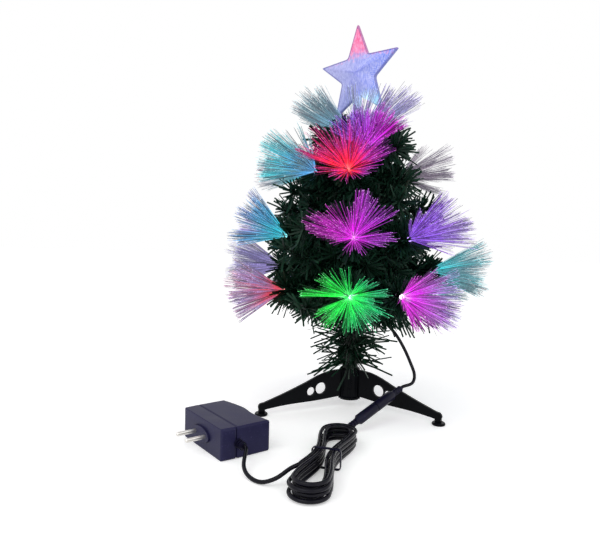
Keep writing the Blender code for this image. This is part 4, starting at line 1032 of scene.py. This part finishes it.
    def build(self, tinsel: bpy.types.Material, sleeve: bpy.types.Material) -> None:
        """Make the branch and its spray, and seat both on the branch's body.

        Args:
            tinsel: the finish of stem and needles.
            sleeve: the finish of the cup's sleeve.
        """
        number = f"{self.number:02d}"
        body = f"branch_{number}"
        turn, hinge = turn_about_z(self.azimuth), self.hinge()
        stem = Surface.joined([self.stem(), self.needles()]).moved(turn, hinge)
        needles = seat(stem.to_object(f"tinsel_{number}", [tinsel]), body, [body])
        _, _, end, along = self.path()
        cup_at = end + along * (self.cup_floor + CLEARANCE)
        spray = Surface.joined([self.cup(), self.fibres()]).moved(axes_along(along), cup_at)
        name = f"fibres_{number}"
        finishes = [sleeve, self.glow.lens(f"lens_{number}"), self.glow.fibres(name)]
        fan = spray.moved(turn, hinge).to_object(name, finishes)
        seat(fan, body, [f"spray_{number}"])
        LOG.info("%s: %d needle faces, %d fibre faces", body, len(needles.data.polygons),
                 len(fan.data.polygons))


@dataclass
class Filler:
    """Unlit twigs between the rows, which make the tinsel one dark mass."""

    trunk: Trunk
    heights: tuple[float, ...] = mm(108, 126, 158, 210, 246, 278, 304, 318)
    reaches: tuple[float, ...] = mm(96, 106, 108, 95, 72, 60, 50, 46)
    twigs: int = 88
    twig_cut: Span = (0.85, 1.0)
    lifts: Span = (-6.0, 16.0)
    root_depth: float = 1.0 * MM
    wire_width: float = 2.0 * MM
    needles: int = 155
    needle: float = 27 * MM
    needle_width: float = 2.9 * MM
    needle_span: Span = (0.12, 1.0)
    needle_leans: Span = (8.0, 58.0)
    lamp_turn: float = 22.0
    lamp_rise: float = 34 * MM
    lamp_room: float = 26 * MM
    shortest: float = 8 * MM
    golden_angle: float = 137.508
    seed: int = 61

    def shortened(self, height: Array, turn: Array, reach: Array) -> Array:
        """Shorten the twigs that would stand before a lamp.

        Args:
            height: the twigs' heights.
            turn: their azimuths, in radians.
            reach: how far each would reach.

        Returns:
            How far each reaches.
        """
        for row, azimuth, _ in BRANCHES:
            tier = TIERS[row]
            off = np.degrees(turn) - azimuth
            beside = np.abs((off + 180.0) % 360.0 - 180.0) < self.lamp_turn
            level = np.abs(height - tier.height - tier.rise) < self.lamp_rise
            limit = max(tier.reach - self.lamp_room, self.shortest)
            reach = np.where(beside & level, np.minimum(reach, limit), reach)
        return reach

    def build(self, tinsel: bpy.types.Material) -> None:
        """Grow twigs by the golden angle up the trunk, with needles square to each and leaning outwards.

        Args:
            tinsel: the finish of twigs and needles.
        """
        rng = np.random.default_rng(self.seed)
        height = np.linspace(self.heights[0], self.heights[-1], self.twigs)
        reach = np.interp(height, self.heights, self.reaches) * rng.uniform(*self.twig_cut, self.twigs)
        turn = np.radians(self.golden_angle) * np.arange(self.twigs)
        reach = self.shortened(height, turn, reach)
        out = outwards(turn)
        along = risen(out, np.radians(rng.uniform(*self.lifts, self.twigs)))
        roots = out * (self.trunk.radius(height) - self.root_depth)[:, None] + UP * height[:, None]
        wires = strands(roots, along, reach, self.wire_width, np.zeros((self.twigs, 3)),
                        rng.random((self.twigs, 2)), segments=3)
        count = self.twigs * self.needles
        twig = np.repeat(np.arange(self.twigs), self.needles)
        places = roots[twig] + along[twig] * (reach[twig] * rng.uniform(*self.needle_span, count))[:, None]
        grown = brushed(rng, along[twig], unit(np.cross(along[twig], UP)), self.needle_leans)
        lengths = self.needle * rng.uniform(*NEEDLE_CUT, count)
        rise = np.minimum(grown[:, 2], (CEILING - places[:, 2]) / lengths)
        grown = unit(np.concatenate([grown[:, :2], rise[:, None]], axis=1))
        surface = Surface.joined([wires, foil(rng, places, grown, lengths, self.needle_width)])
        piece = seat(surface.to_object("filler_twigs", [tinsel]), "tree", [])
        LOG.info("filler: %d faces", len(piece.data.polygons))


@dataclass
class Crown:
    """The ring of fibres round the trunk's tip, under the star."""

    height: float = 316.0 * MM
    radius: float = 6.8 * MM
    bore: float = 3.7 * MM
    depth: float = 7.0 * MM
    bevel: float = 1.4 * MM
    fibre: float = 76.0 * MM
    fibre_width: float = 0.5 * MM
    count: int = 1260
    tuft_size: int = 15
    turn_jitter: float = 0.05
    lift_jitter: float = 2.0
    lowest: float = 12.0
    highest: float = 34.0
    band: float = 0.6
    fine_cut: Span = (0.92, 1.0)
    upturn: float = 0.1
    ring_steps: int = 32
    seed: int = 41
    glow: Glow = field(default_factory=lambda: Glow((0.25, 0.6, 0.85), GREY_TEAL, LAVENDER, 0.8))

    def fibres(self) -> Surface:
        """Grow tufts of fibres out of the ring's side at all azimuths, rising and bent upwards.

        Returns:
            The fibres, in the second slot.
        """
        rng = np.random.default_rng(self.seed)
        count, size = self.count, self.tuft_size
        tufts = count // size
        turn = np.repeat(rng.uniform(-math.pi, math.pi, tufts), size)
        turn = turn + rng.normal(0.0, self.turn_jitter, count)
        lift = np.repeat(rng.uniform(self.lowest, self.highest, tufts), size)
        lift = np.radians(np.minimum(lift + rng.normal(0.0, self.lift_jitter, count), self.highest))
        out = outwards(turn)
        level = rng.uniform(-self.band, self.band, count) * (self.depth / 2)
        roots = out * self.radius * ROOT_SHARE + UP * level[:, None]
        lengths = self.fibre * np.repeat(rng.uniform(*TUFT_CUT, tufts), size)
        lengths = lengths * rng.uniform(*self.fine_cut, count)
        sag = rng.normal(0.0, FIBRE_BEND, (count, 3)) + UP * self.upturn
        return light_guides(rng, roots, risen(out, lift), lengths, self.fibre_width, sag, np.cos(turn), 1)

    def build(self, sleeve: bpy.types.Material) -> None:
        """Make the ring and its fibres.

        Args:
            sleeve: the finish of the ring.
        """
        half, edge = self.depth / 2, self.radius - self.bevel
        ring = turned(((self.bore, half), (edge, half), (self.radius, half - self.bevel),
                       (self.radius, self.bevel - half), (edge, -half), (self.bore, -half),
                       (self.bore, half)), self.ring_steps)
        surface = Surface.joined([ring, self.fibres()]).moved(np.eye(3), UP * self.height)
        piece = surface.to_object("crown_fibres", [sleeve, self.glow.fibres("crown_fibres")])
        seat(piece, "tree", ["crown_spray"])
        LOG.info("crown: %d faces", len(piece.data.polygons))


@dataclass
class Star:
    """The frosted star with its boss, and the holder that carries it."""

    trunk: Trunk
    centre: float = 384.0 * MM
    radius: float = 56.0 * MM
    crotch_share: float = 0.43
    spacing: float = 0.9 * MM
    rounding: float = 6.4 * MM
    bulge: float = 6.5 * MM
    rim: float = 2.2 * MM
    rib: float = 0.3 * MM
    rib_pitch: int = 4
    field_rows: int = 22
    field_end: float = 0.92
    border: tuple[float, ...] = (0.93, 0.955, 0.985, 1.0)
    border_rise: float = 0.5 * MM
    turn: float = -36.0
    roll: float = 2.5
    points: int = 5
    boss_radius: float = 4.4 * MM
    boss_bevel: float = 0.8 * MM
    boss_bottom: float = 344.9 * MM
    boss_top: float = 384.0 * MM
    pin_radius: float = 2.2 * MM
    pin_top: float = 372.0 * MM
    pin_bevel: Span = (0.4 * MM, 0.6 * MM)
    holder_radius: float = 5.2 * MM
    holder_bottom: float = 325.0 * MM
    shoulder: float = 342.0 * MM
    cone: float = 2.6 * MM

    def outline(self) -> Array:
        """Walk the star's ten corners in straight lines, tip up, with slightly rounded corners.

        Returns:
            The places across and up, in even steps.
        """
        corner = np.arange(2 * self.points)
        angles = np.radians(90.0 + corner * 180.0 / self.points)
        reach = np.where(corner % 2 == 0, self.radius, self.radius * self.crotch_share)
        corners = [(r * math.cos(a), r * math.sin(a)) for r, a in zip(reach, angles)]
        return resampled(corners, self.spacing, self.rounding)

    def sheets(self) -> Surface:
        """Raise both faces from the rim to the middle, with fine ribs that run out to the border.

        The height at a share of the way out is half the rim, plus the bulge times one less that share,
        plus a rib that goes as the cosine of the place along the outline. The border stands higher.

        Returns:
            The star's shell, marked with the share, the ribs and the border.
        """
        edge = self.outline()
        shares = np.concatenate([np.linspace(0.0, self.field_end, self.field_rows), self.border])[:, None]
        rib = np.cos(np.arange(len(edge)) * 2 * math.pi / self.rib_pitch)[None] * 0.5 + 0.5
        inside = np.where(shares <= self.field_end, 1.0, 0.0)
        raised = np.where((shares > self.border[0]) & (shares < self.border[-1]), self.border_rise, 0.0)
        depth = self.rim / 2 + self.bulge * (1 - shares) + self.rib * rib * inside * np.sqrt(shares) + raised
        front = np.stack([edge[None, :, 0] * shares, -depth * np.ones_like(rib), edge[None, :, 1] * shares],
                         axis=-1)
        back = front * [1.0, -1.0, 1.0]
        rim = front[-1:] * [1.0, 0.0, 1.0]
        marks = np.stack(np.broadcast_arrays(shares, rib * inside, 1.0 - inside), axis=-1)
        points = np.concatenate([front, rim, back[::-1]])
        return grid(points, marks=np.concatenate([marks, marks[-1:], marks[::-1]]))

    def boss(self) -> Surface:
        """Turn the boss with its blind bore for the holder's pin.

        Returns:
            The boss.
        """
        bore, ceiling = self.pin_radius + CLEARANCE, self.pin_top + CLEARANCE
        radius, top, bevel = self.boss_radius, self.boss_top, self.boss_bevel
        return turned(((0.0, top), (radius - bevel, top), (radius, top - bevel), (radius, self.boss_bottom),
                       (bore, self.boss_bottom), (bore, ceiling), (0.0, ceiling)))

    def holder(self) -> Surface:
        """Turn the holder: a pin on a sleeve that fits over the trunk's tip.

        Returns:
            The holder.
        """
        sleeve, top = self.trunk.tip_radius + CLEARANCE, self.trunk.top + CLEARANCE
        pin, pin_top = self.pin_radius, self.pin_top
        across, down = self.pin_bevel
        return turned(((0.0, pin_top), (pin - across, pin_top), (pin, pin_top - down),
                       (pin, self.shoulder + self.cone), (self.holder_radius, self.shoulder),
                       (self.holder_radius, self.holder_bottom), (sleeve, self.holder_bottom),
                       (sleeve, top), (0.0, top)))

    def build(self, frosted: bpy.types.Material, star_finish: bpy.types.Material) -> None:
        """Make star and holder and seat each on its own body.

        Args:
            frosted: the holder's finish.
            star_finish: the star's finish.
        """
        c, s = math.cos(math.radians(-self.roll)), math.sin(math.radians(-self.roll))
        rolled = np.array([[c, 0.0, s], [0.0, 1.0, 0.0], [-s, 0.0, c]])
        sheets = self.sheets().moved(turn_about_z(self.turn) @ rolled, UP * self.centre)
        star = Surface.joined([sheets, self.boss()]).to_object("star_face", [star_finish], sharp=28.0)
        seat(star, "star", ["star"])
        holder = seat(self.holder().to_object("star_sleeve", [frosted]), "star_holder", ["star_holder"])
        LOG.info("star: %d faces, holder: %d faces", len(star.data.polygons), len(holder.data.polygons))


# Connector, cords and supply


def boot_profile(base: float, length: float, tip: float, rib: float, ribs: int) -> list[Span]:
    """Return a ribbed boot's outer profile.

    Args:
        base: the height of its wide end.
        length: how far down it runs.
        tip: the radius in its grooves.
        rib: the radius of its ribs.
        ribs: how many it has.

    Returns:
        Radius and height of each point, top down.
    """
    points: list[Span] = []
    pitch = length / ribs
    for index in range(ribs):
        top = base - index * pitch
        points += [(rib, top - pitch * 0.25), (rib, top - pitch * 0.6), (tip, top - pitch * 0.66),
                   (tip, top - pitch * 0.94)]
    return [*points, (tip, base - length)]


@dataclass
class Connector:
    """The in-line connector: a jack on the lead, and the plug that seats in it."""

    start: Array = field(default_factory=lambda: np.array([56.3, -41.5, 34.0]) * MM)
    end: Array = field(default_factory=lambda: np.array([-0.7, -99.5, 6.5]) * MM)
    radius: float = 5.4 * MM
    bevel: float = 0.9 * MM
    boot: float = 2.7 * MM
    rib: float = 3.5 * MM
    boot_length: float = 14.0 * MM
    shoulder: float = 3.0 * MM
    barrel: float = 2.75 * MM
    barrel_bore: float = 1.4 * MM
    barrel_length: float = 9.5 * MM
    pin: float = 1.0 * MM
    setback: float = 1.0 * MM
    steps: int = 40

    def body(self, front: float) -> list[Span]:
        """Draw the outside of one half, from its front down to the cord.

        Args:
            front: the height of its front.

        Returns:
            Radius and height of each point.
        """
        radius, bevel, boot = self.radius, self.bevel, self.boot_length
        return [(radius - bevel, front), (radius - 0.25 * bevel, front - 0.25 * bevel),
                (radius, front - bevel), (radius, boot + self.shoulder), (self.rib, boot),
                *boot_profile(boot, boot, self.boot, self.rib, 4), (0.0, 0.0)]

    def build(self, finish: bpy.types.Material) -> tuple[bpy.types.Object, bpy.types.Object]:
        """Make both halves.

        Args:
            finish: their plastic.

        Returns:
            The jack and the plug.
        """
        axis = self.end - self.start
        front = float(np.linalg.norm(axis)) / 2 - CLEARANCE / 2
        floor, top = front - self.barrel_length - CLEARANCE * 2, front + self.barrel_length
        bore, pin_top = self.barrel + CLEARANCE, front - self.setback
        jack = turned([(0.0, pin_top), (self.pin, pin_top), (self.pin, floor), (bore, floor), (bore, front),
                       *self.body(front)], self.steps).moved(axes_along(axis), self.start)
        plug = turned([(0.0, front), (self.barrel_bore, front), (self.barrel_bore, top), (self.barrel, top),
                       (self.barrel, front), *self.body(front)], self.steps)
        plug = plug.moved(axes_along(-axis), self.end)
        halves = (("jack_body", jack, "tree", "jack"), ("plug_body", plug, "supply", "plug"))
        made = [seat(surface.to_object(name, [finish], sharp=35.0), body, [node])
                for name, surface, body, node in halves]
        LOG.info("connector: jack and plug")
        return made[0], made[1]


@dataclass
class Hank:
    """The tied hank: one cord that winds in and out again, a layer up at each reversal."""

    centre: Array = field(default_factory=lambda: np.array([-18.0, -184.0]) * MM)
    azimuth: float = -101.0
    run_half: float = 52.5 * MM
    eye: float = 10.4 * MM
    waist_gap: float = 1.4 * MM
    step: float = 4.3 * MM
    waist_step: float = 4.6 * MM
    rise: float = 4.15 * MM
    floor: float = 3.0 * MM
    lobe_angle: float = 60.0
    turns: tuple[float, ...] = (210.0, 810.0, 1350.0, 1890.0, 2445.0)
    cord_radius: float = 1.8 * MM

    def plan(self, angles: Array, lobe: Array, waist: Array) -> tuple[Array, Array]:
        """Return places along and across: a round lobe, then a run drawn in by a cosine at the waist.

        Args:
            angles: degrees round a loop.
            lobe: the lobe's radius at each.
            waist: the waist's half width at each.

        Returns:
            The places along and across the hank.
        """
        folded = angles % 360.0
        side_sign = np.where(folded > 180.0, -1.0, 1.0)
        folded = np.where(folded > 180.0, 360.0 - folded, folded)
        end_sign = np.where(folded > 90.0, -1.0, 1.0)
        folded = np.where(folded > 90.0, 180.0 - folded, folded)
        bend = np.radians(np.minimum(folded, self.lobe_angle) / self.lobe_angle * 90.0)
        share = np.clip((90.0 - folded) / (90.0 - self.lobe_angle), 0.0, 1.0)
        drawn = (1 + np.cos(np.pi * share)) / 2
        in_lobe = folded <= self.lobe_angle
        end = np.where(in_lobe, self.run_half + lobe * np.cos(bend), self.run_half * share)
        side = np.where(in_lobe, lobe * np.sin(bend), lobe + (waist - lobe) * drawn)
        return end * end_sign, side * side_sign

    def points(self, a_loop: int = 24) -> Array:
        """Return the centreline, with a straight run of one diameter at each end.

        Args:
            a_loop: points in each loop.

        Returns:
            The points, from the plug's end on.
        """
        first, last = self.turns[0], self.turns[-1]
        count = round((last - first) / 360.0 * a_loop)
        angles = first + (last - first) * np.arange(count + 1) / count
        inward = np.zeros_like(angles)
        height = np.full_like(angles, self.floor)
        for index, (start, end) in enumerate(zip(self.turns, self.turns[1:])):
            passed = np.clip(angles, start, end) - start
            inward += np.where(index % 2 == 0, passed, -passed) / 360.0
        for knot in self.turns[1:-1]:
            share = np.clip((angles - knot) / 180.0 + 0.5, 0.0, 1.0)
            height += self.rise * share ** 2 * (3 - 2 * share)
        loops = (self.turns[1] - self.turns[0]) / 360.0
        lobe = self.eye + self.step * (loops - inward)
        waist = self.waist_gap / 2 + self.cord_radius + self.waist_step * (loops - inward)
        end, side = self.plan(angles, lobe, waist)
        along, across = heading(self.azimuth)[:2], heading(self.azimuth + 90.0)[:2]
        flat = self.centre + end[:, None] * along + side[:, None] * across
        loop = np.concatenate([flat, height[:, None]], axis=1)
        straight = 2 * self.cord_radius
        head = loop[0] + unit(loop[0] - loop[1]) * straight
        tail = loop[-1] + unit(loop[-1] - loop[-2]) * straight
        return np.concatenate([[head], loop, [tail]])


@dataclass
class Gland:
    """The ribbed gland where the cord enters the supply, which lies on its side."""

    corner: Array = field(default_factory=lambda: np.array([-109.0, -186.0, 0.0]) * MM)
    azimuth: float = 42.0
    width: float = 29.0 * MM
    at: float = 16.0 * MM
    radius: float = 4.2 * MM
    tip: float = 2.9 * MM
    rib: float = 3.9 * MM
    length: float = 10.0 * MM
    steps: int = 36

    def tip_place(self) -> tuple[Array, Array]:
        """Place the end where the cord enters.

        Returns:
            The gland's tip and the heading into the supply.
        """
        turn = turn_about_z(self.azimuth)
        local = np.array([self.at, -CLEARANCE - self.length, self.width / 2])
        return turn @ local + self.corner, turn @ np.array([0.0, 1.0, 0.0])

    def build(self, soft: bpy.types.Material) -> bpy.types.Object:
        """Make the gland.

        Args:
            soft: its plastic.

        Returns:
            The gland.
        """
        profile = [(0.0, -CLEARANCE), (self.radius, -CLEARANCE),
                   *boot_profile(-CLEARANCE, self.length, self.tip, self.rib, 3),
                   (0.0, -CLEARANCE - self.length)]
        local = np.array([self.at, 0.0, self.width / 2])
        surface = turned(profile, self.steps).moved(axes_along((0.0, 1.0, 0.0)), local)
        surface = surface.moved(turn_about_z(self.azimuth), self.corner)
        piece = seat(surface.to_object("gland_boot", [soft], sharp=35.0), "supply", ["supply_gland"])
        LOG.info("gland: %d faces", len(piece.data.polygons))
        return piece


@dataclass
class Cords:
    """The lead from the trunk, and the long cord with its hank, on the listed routes."""

    trunk: Trunk
    connector: Connector
    hank: Hank
    gland: Gland
    radius: float = 1.8 * MM
    spacing: float = 3.0 * MM
    fine_loop: int = 72
    lead_height: float = 108.0 * MM
    lead_azimuth: float = -24.0
    lead_route: tuple[tuple[float, float, float], ...] = (
        (0.024, -0.0112, 0.1084), (0.037, -0.0165, 0.1025), (0.049, -0.0205, 0.0915),
        (0.059, -0.0235, 0.0765), (0.067, -0.025, 0.06), (0.072, -0.0275, 0.0465), (0.0695, -0.032, 0.0378))
    plug_route: tuple[tuple[float, float, float], ...] = ((-0.0076, -0.1076, 0.0042),)
    supply_route: tuple[tuple[float, float, float], ...] = (
        (-0.0453, -0.2195, 0.0136), (-0.056, -0.2244, 0.007), (-0.068, -0.2228, 0.0024),
        (-0.079, -0.215, 0.0024), (-0.086, -0.204, 0.0065))

    def stretch(self, start: Array, leaving: Array, route: Sequence[Sequence[float]], end: Array,
                arriving: Array) -> Array:
        """Return a free stretch's points, straight for one diameter at both ends.

        Args:
            start: the face that it leaves.
            leaving: its heading there.
            route: the given points.
            end: the face that it meets.
            arriving: its heading there.

        Returns:
            The points on a smooth curve.
        """
        straight = 2 * self.radius
        first, last = start + leaving * CLEARANCE, end - arriving * CLEARANCE
        places = [first, first + leaving * straight, *map(np.array, route), last - arriving * straight, last]
        return smooth_through(places, self.spacing)

    def lay(self, name: str, points: Array, finish: bpy.types.Material, body: str, nodes: Sequence[str],
            far_end: str, lay: str, carried: Sequence[bpy.types.Object]) -> None:
        """Args:
            name: the piece's name.
            points: its centreline, from the exit on.
            finish: its jacket.
            body: the body that it rides on.
            nodes: the nodes that it replaces.
            far_end: what is on its far end; not used.
            lay: how it lies; not used.
            carried: the pieces on it; not used.
        """
        curve = bpy.data.curves.new(name, "CURVE")
        curve.dimensions = "3D"
        curve.bevel_depth = self.radius
        curve.bevel_resolution = 3
        curve.use_fill_caps = True
        spline = curve.splines.new("POLY")
        spline.points.add(len(points) - 1)
        spline.points.foreach_set("co", np.concatenate([points, np.ones((len(points), 1))], axis=1).ravel())
        spline.use_smooth = True
        curve.materials.append(finish)
        piece = bpy.data.objects.new(name, curve)
        bpy.context.scene.collection.objects.link(piece)
        seat(piece, body, nodes)
        2 * self.radius

    def build(self, jacket: bpy.types.Material, jack: bpy.types.Object, plug: bpy.types.Object,
              gland: bpy.types.Object) -> None:
        """Lay both cords.

        Args:
            jacket: their finish.
            jack: the jack on the lead.
            plug: the plug on the long cord.
            gland: the gland where the long cord ends.
        """
        axis = unit(self.connector.end - self.connector.start)
        out = heading(self.lead_azimuth)
        start = out * float(self.trunk.radius(self.lead_height)) + UP * self.lead_height
        lead = self.stretch(start, out, self.lead_route, self.connector.start, axis)
        self.lay("lead_cord", lead, jacket, "tree", ["lead"], "connector", "hanging", [jack])
        coarse, fine = self.hank.points(), self.hank.points(self.fine_loop)
        to_hank = self.stretch(self.connector.end, axis, self.plug_route, coarse[0],
                               unit(coarse[1] - coarse[0]))
        tip, inward = self.gland.tip_place()
        to_supply = self.stretch(coarse[-1], unit(coarse[-1] - coarse[-2]), self.supply_route, tip, inward)
        whole = np.concatenate([to_hank[:-1], fine, to_supply[1:]])
        self.lay("long_cord", whole, jacket, "supply", ["plug_cord", "cord_hank", "supply_cord"], "plug",
                 "coiled", [plug, gland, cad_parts["cord_tie"]])


# Studio


@dataclass
class Studio:
    """Camera, floor and lights."""

    eye: tuple[float, float, float] = (0.0, -0.65, 0.203)
    yaw: float = 5.45
    pitch: float = -3.94
    roll: float = 1.33
    lens: float = 33.32
    sensor: float = 36.0
    floor_size: float = 8.0
    floor_lift: float = 0.36
    ambient: float = 0.72
    lamp_size: float = 1.4
    aim: tuple[float, float, float] = (0.0, 0.0, 0.2)
    lamps: tuple[tuple[str, tuple[float, float, float], float], ...] = (
        ("key", (-0.9, -1.3, 1.5), 11.0), ("fill", (1.2, -1.0, 1.0), 5.0))

    @staticmethod
    def seen_rays(tree: bpy.types.NodeTree) -> bpy.types.NodeSocket:
        """Add nodes that say 1 for camera, glossy and transmission rays, which show the background.

        Args:
            tree: the nodes to add to.

        Returns:
            The socket with the answer.
        """
        path = tree.nodes.new("ShaderNodeLightPath")
        shown = path.outputs["Is Camera Ray"]
        for ray in ("Is Glossy Ray", "Is Transmission Ray"):
            either = tree.nodes.new("ShaderNodeMath")
            either.operation = "MAXIMUM"
            tree.links.new(shown, either.inputs[0])
            tree.links.new(path.outputs[ray], either.inputs[1])
            shown = either.outputs[0]
        return shown

    def build_camera(self) -> None:
        """Stand the camera where the photograph was taken from."""
        camera = bpy.data.objects.new("camera", bpy.data.cameras.new("camera"))
        camera.data.lens = self.lens
        camera.data.sensor_width = self.sensor
        camera.data.clip_start = 0.01
        camera.location = self.eye
        turns = ((self.yaw, "Z"), (90.0 + self.pitch, "X"), (self.roll, "Z"))
        yaw, pitch, roll = (Matrix.Rotation(math.radians(angle), 3, axis) for angle, axis in turns)
        camera.rotation_euler = (yaw @ pitch @ roll).to_euler()
        bpy.context.scene.collection.objects.link(camera)
        bpy.context.scene.camera = camera

    def build_floor(self) -> None:
        """Lay the pale floor, which glows only to the rays that show it."""
        half = self.floor_size / 2
        corners = np.array([[-half, -half, 0.0], [half, -half, 0.0], [half, half, 0.0], [-half, half, 0.0]])
        paper = Shader("floor_paper")
        lift = paper.scaled((self.floor_lift,) * 3, Signal(paper, self.seen_rays(paper.tree)))
        finish = paper.dressed(Base_Color=(0.93, 0.93, 0.93), Roughness=0.9, Emission_Color=lift,
                               Emission_Strength=1.0)
        floor = Surface.of(corners, np.array([[0, 1, 2, 3]])).to_object("floor", [finish], weld=False)

    def build_lights(self) -> None:
        """Hang both lamps and set the world, white to the rays that show it and dimmer as a light."""
        for name, place, power in self.lamps:
            light = bpy.data.lights.new(name, "AREA")
            light.size = self.lamp_size
            light.energy = power
            lamp = bpy.data.objects.new(name, light)
            lamp.location = place
            lamp.rotation_euler = (Vector(self.aim) - Vector(place)).to_track_quat("-Z", "Y").to_euler()
            bpy.context.scene.collection.objects.link(lamp)
        world = bpy.data.worlds.new("studio")
        bpy.context.scene.world = world
        world.use_nodes = True
        nodes, links = world.node_tree.nodes, world.node_tree.links
        background = nodes["Background"]
        level = nodes.new("ShaderNodeMapRange")
        level.inputs["To Min"].default_value = self.ambient
        level.inputs["To Max"].default_value = 1.0
        links.new(self.seen_rays(world.node_tree), level.inputs["Value"])
        links.new(level.outputs[0], background.inputs["Strength"])
        background.inputs["Color"].default_value = (1.0, 1.0, 1.0, 1.0)

    def build(self) -> None:
        """Set up a plain pale studio with soft light."""
        bpy.context.scene.view_settings.view_transform = "Standard"
        self.build_camera()
        self.build_floor()
        self.build_lights()
        LOG.info("studio ready")


# The nodes that stay, and the whole


CARRIER_RISE = 2.2 * MM    # the carrier's faces lie nearer the case's wall than this, and the pins' further
KEPT: dict[str, str] = {
    "stand_socket": "stand", "leg_front_left": "stand", "leg_front_right": "stand", "leg_back": "stand",
    "cord_tie": "soft", "supply_pins": "metal", "supply_base": "case", "supply_cover": "case",
}
MOULDED: dict[str, Moulded] = {
    "stand": Moulded("stand_plastic", (0.0025, 0.003, 0.0045), (0.005, 0.005, 0.007), 0.3, 900.0, 0.02 * MM,
                     shine=0.07),
    "soft": Moulded("connector_plastic", (0.006, 0.0055, 0.018), (0.018, 0.016, 0.05), 0.33, 1200.0,
                    0.03 * MM, shine=0.14),
    "case": Moulded("supply_plastic", (0.018, 0.017, 0.056), (0.05, 0.048, 0.13), 0.42, 1800.0, 0.06 * MM,
                    shine=0.12),
    "jacket": Moulded("cord_jacket", (0.003, 0.003, 0.007), (0.01, 0.009, 0.024), 0.25, 700.0, 0.03 * MM,
                      shine=0.16),
    "metal": Moulded("pin_plating", (0.72, 0.7, 0.66), (0.5, 0.48, 0.45), 0.3, 800.0, 0.02 * MM, 1.0),
    "frosted": Moulded("frosted_plastic", (0.55, 0.55, 0.75), (0.7, 0.72, 0.9), 0.35, 500.0, 0.05 * MM),
}


def dress_kept_nodes(finishes: dict[str, bpy.types.Material]) -> None:
    """Give the CAD nodes that stay their finishes.

    Args:
        finishes: the finishes by name.
    """
    for node, finish in KEPT.items():
        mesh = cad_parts[node].data
        mesh.materials.clear()
        mesh.materials.append(finishes[finish])
        LOG.info("kept node %s", node)


def dress_carrier(gland: Gland, case: bpy.types.Material) -> None:
    """Give the pins' carrier the case's finish, by how far its faces rise off the case.

    Args:
        gland: the gland, which knows where the supply lies.
        case: the case's finish.
    """
    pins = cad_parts["supply_pins"]
    pins.data.materials.append(case)
    inward = heading(gland.azimuth)
    for face in pins.data.polygons:
        outside = (gland.corner - np.array(pins.matrix_world @ face.center)) @ inward
        face.material_index = int(outside < CARRIER_RISE)
    LOG.info("pins and carrier finished apart")


def main() -> None:
    """Build every sub-assembly in order."""
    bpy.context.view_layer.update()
    Studio().build()
    finishes = {name: finish.material() for name, finish in MOULDED.items()}
    tinsel = Tinsel().material()
    trunk = Trunk()
    connector = Connector()
    gland = Gland()
    jack, plug = connector.build(finishes["soft"])
    gland_piece = gland.build(finishes["soft"])
    Cords(trunk, connector, Hank(), gland).build(finishes["jacket"], jack, plug, gland_piece)
    dress_kept_nodes(finishes)
    dress_carrier(gland, finishes["case"])
    trunk.build(tinsel)
    for number, (row, azimuth, glow) in enumerate(BRANCHES, start=1):
        Branch(number, row, azimuth, glow, trunk).build(tinsel, finishes["soft"])
    Filler(trunk).build(tinsel)
    Crown().build(finishes["frosted"])
    star = Star(trunk)
    star.build(finishes["frosted"], StarGlow(star.centre, star.radius).material())


if __name__ == "__main__":
    main()
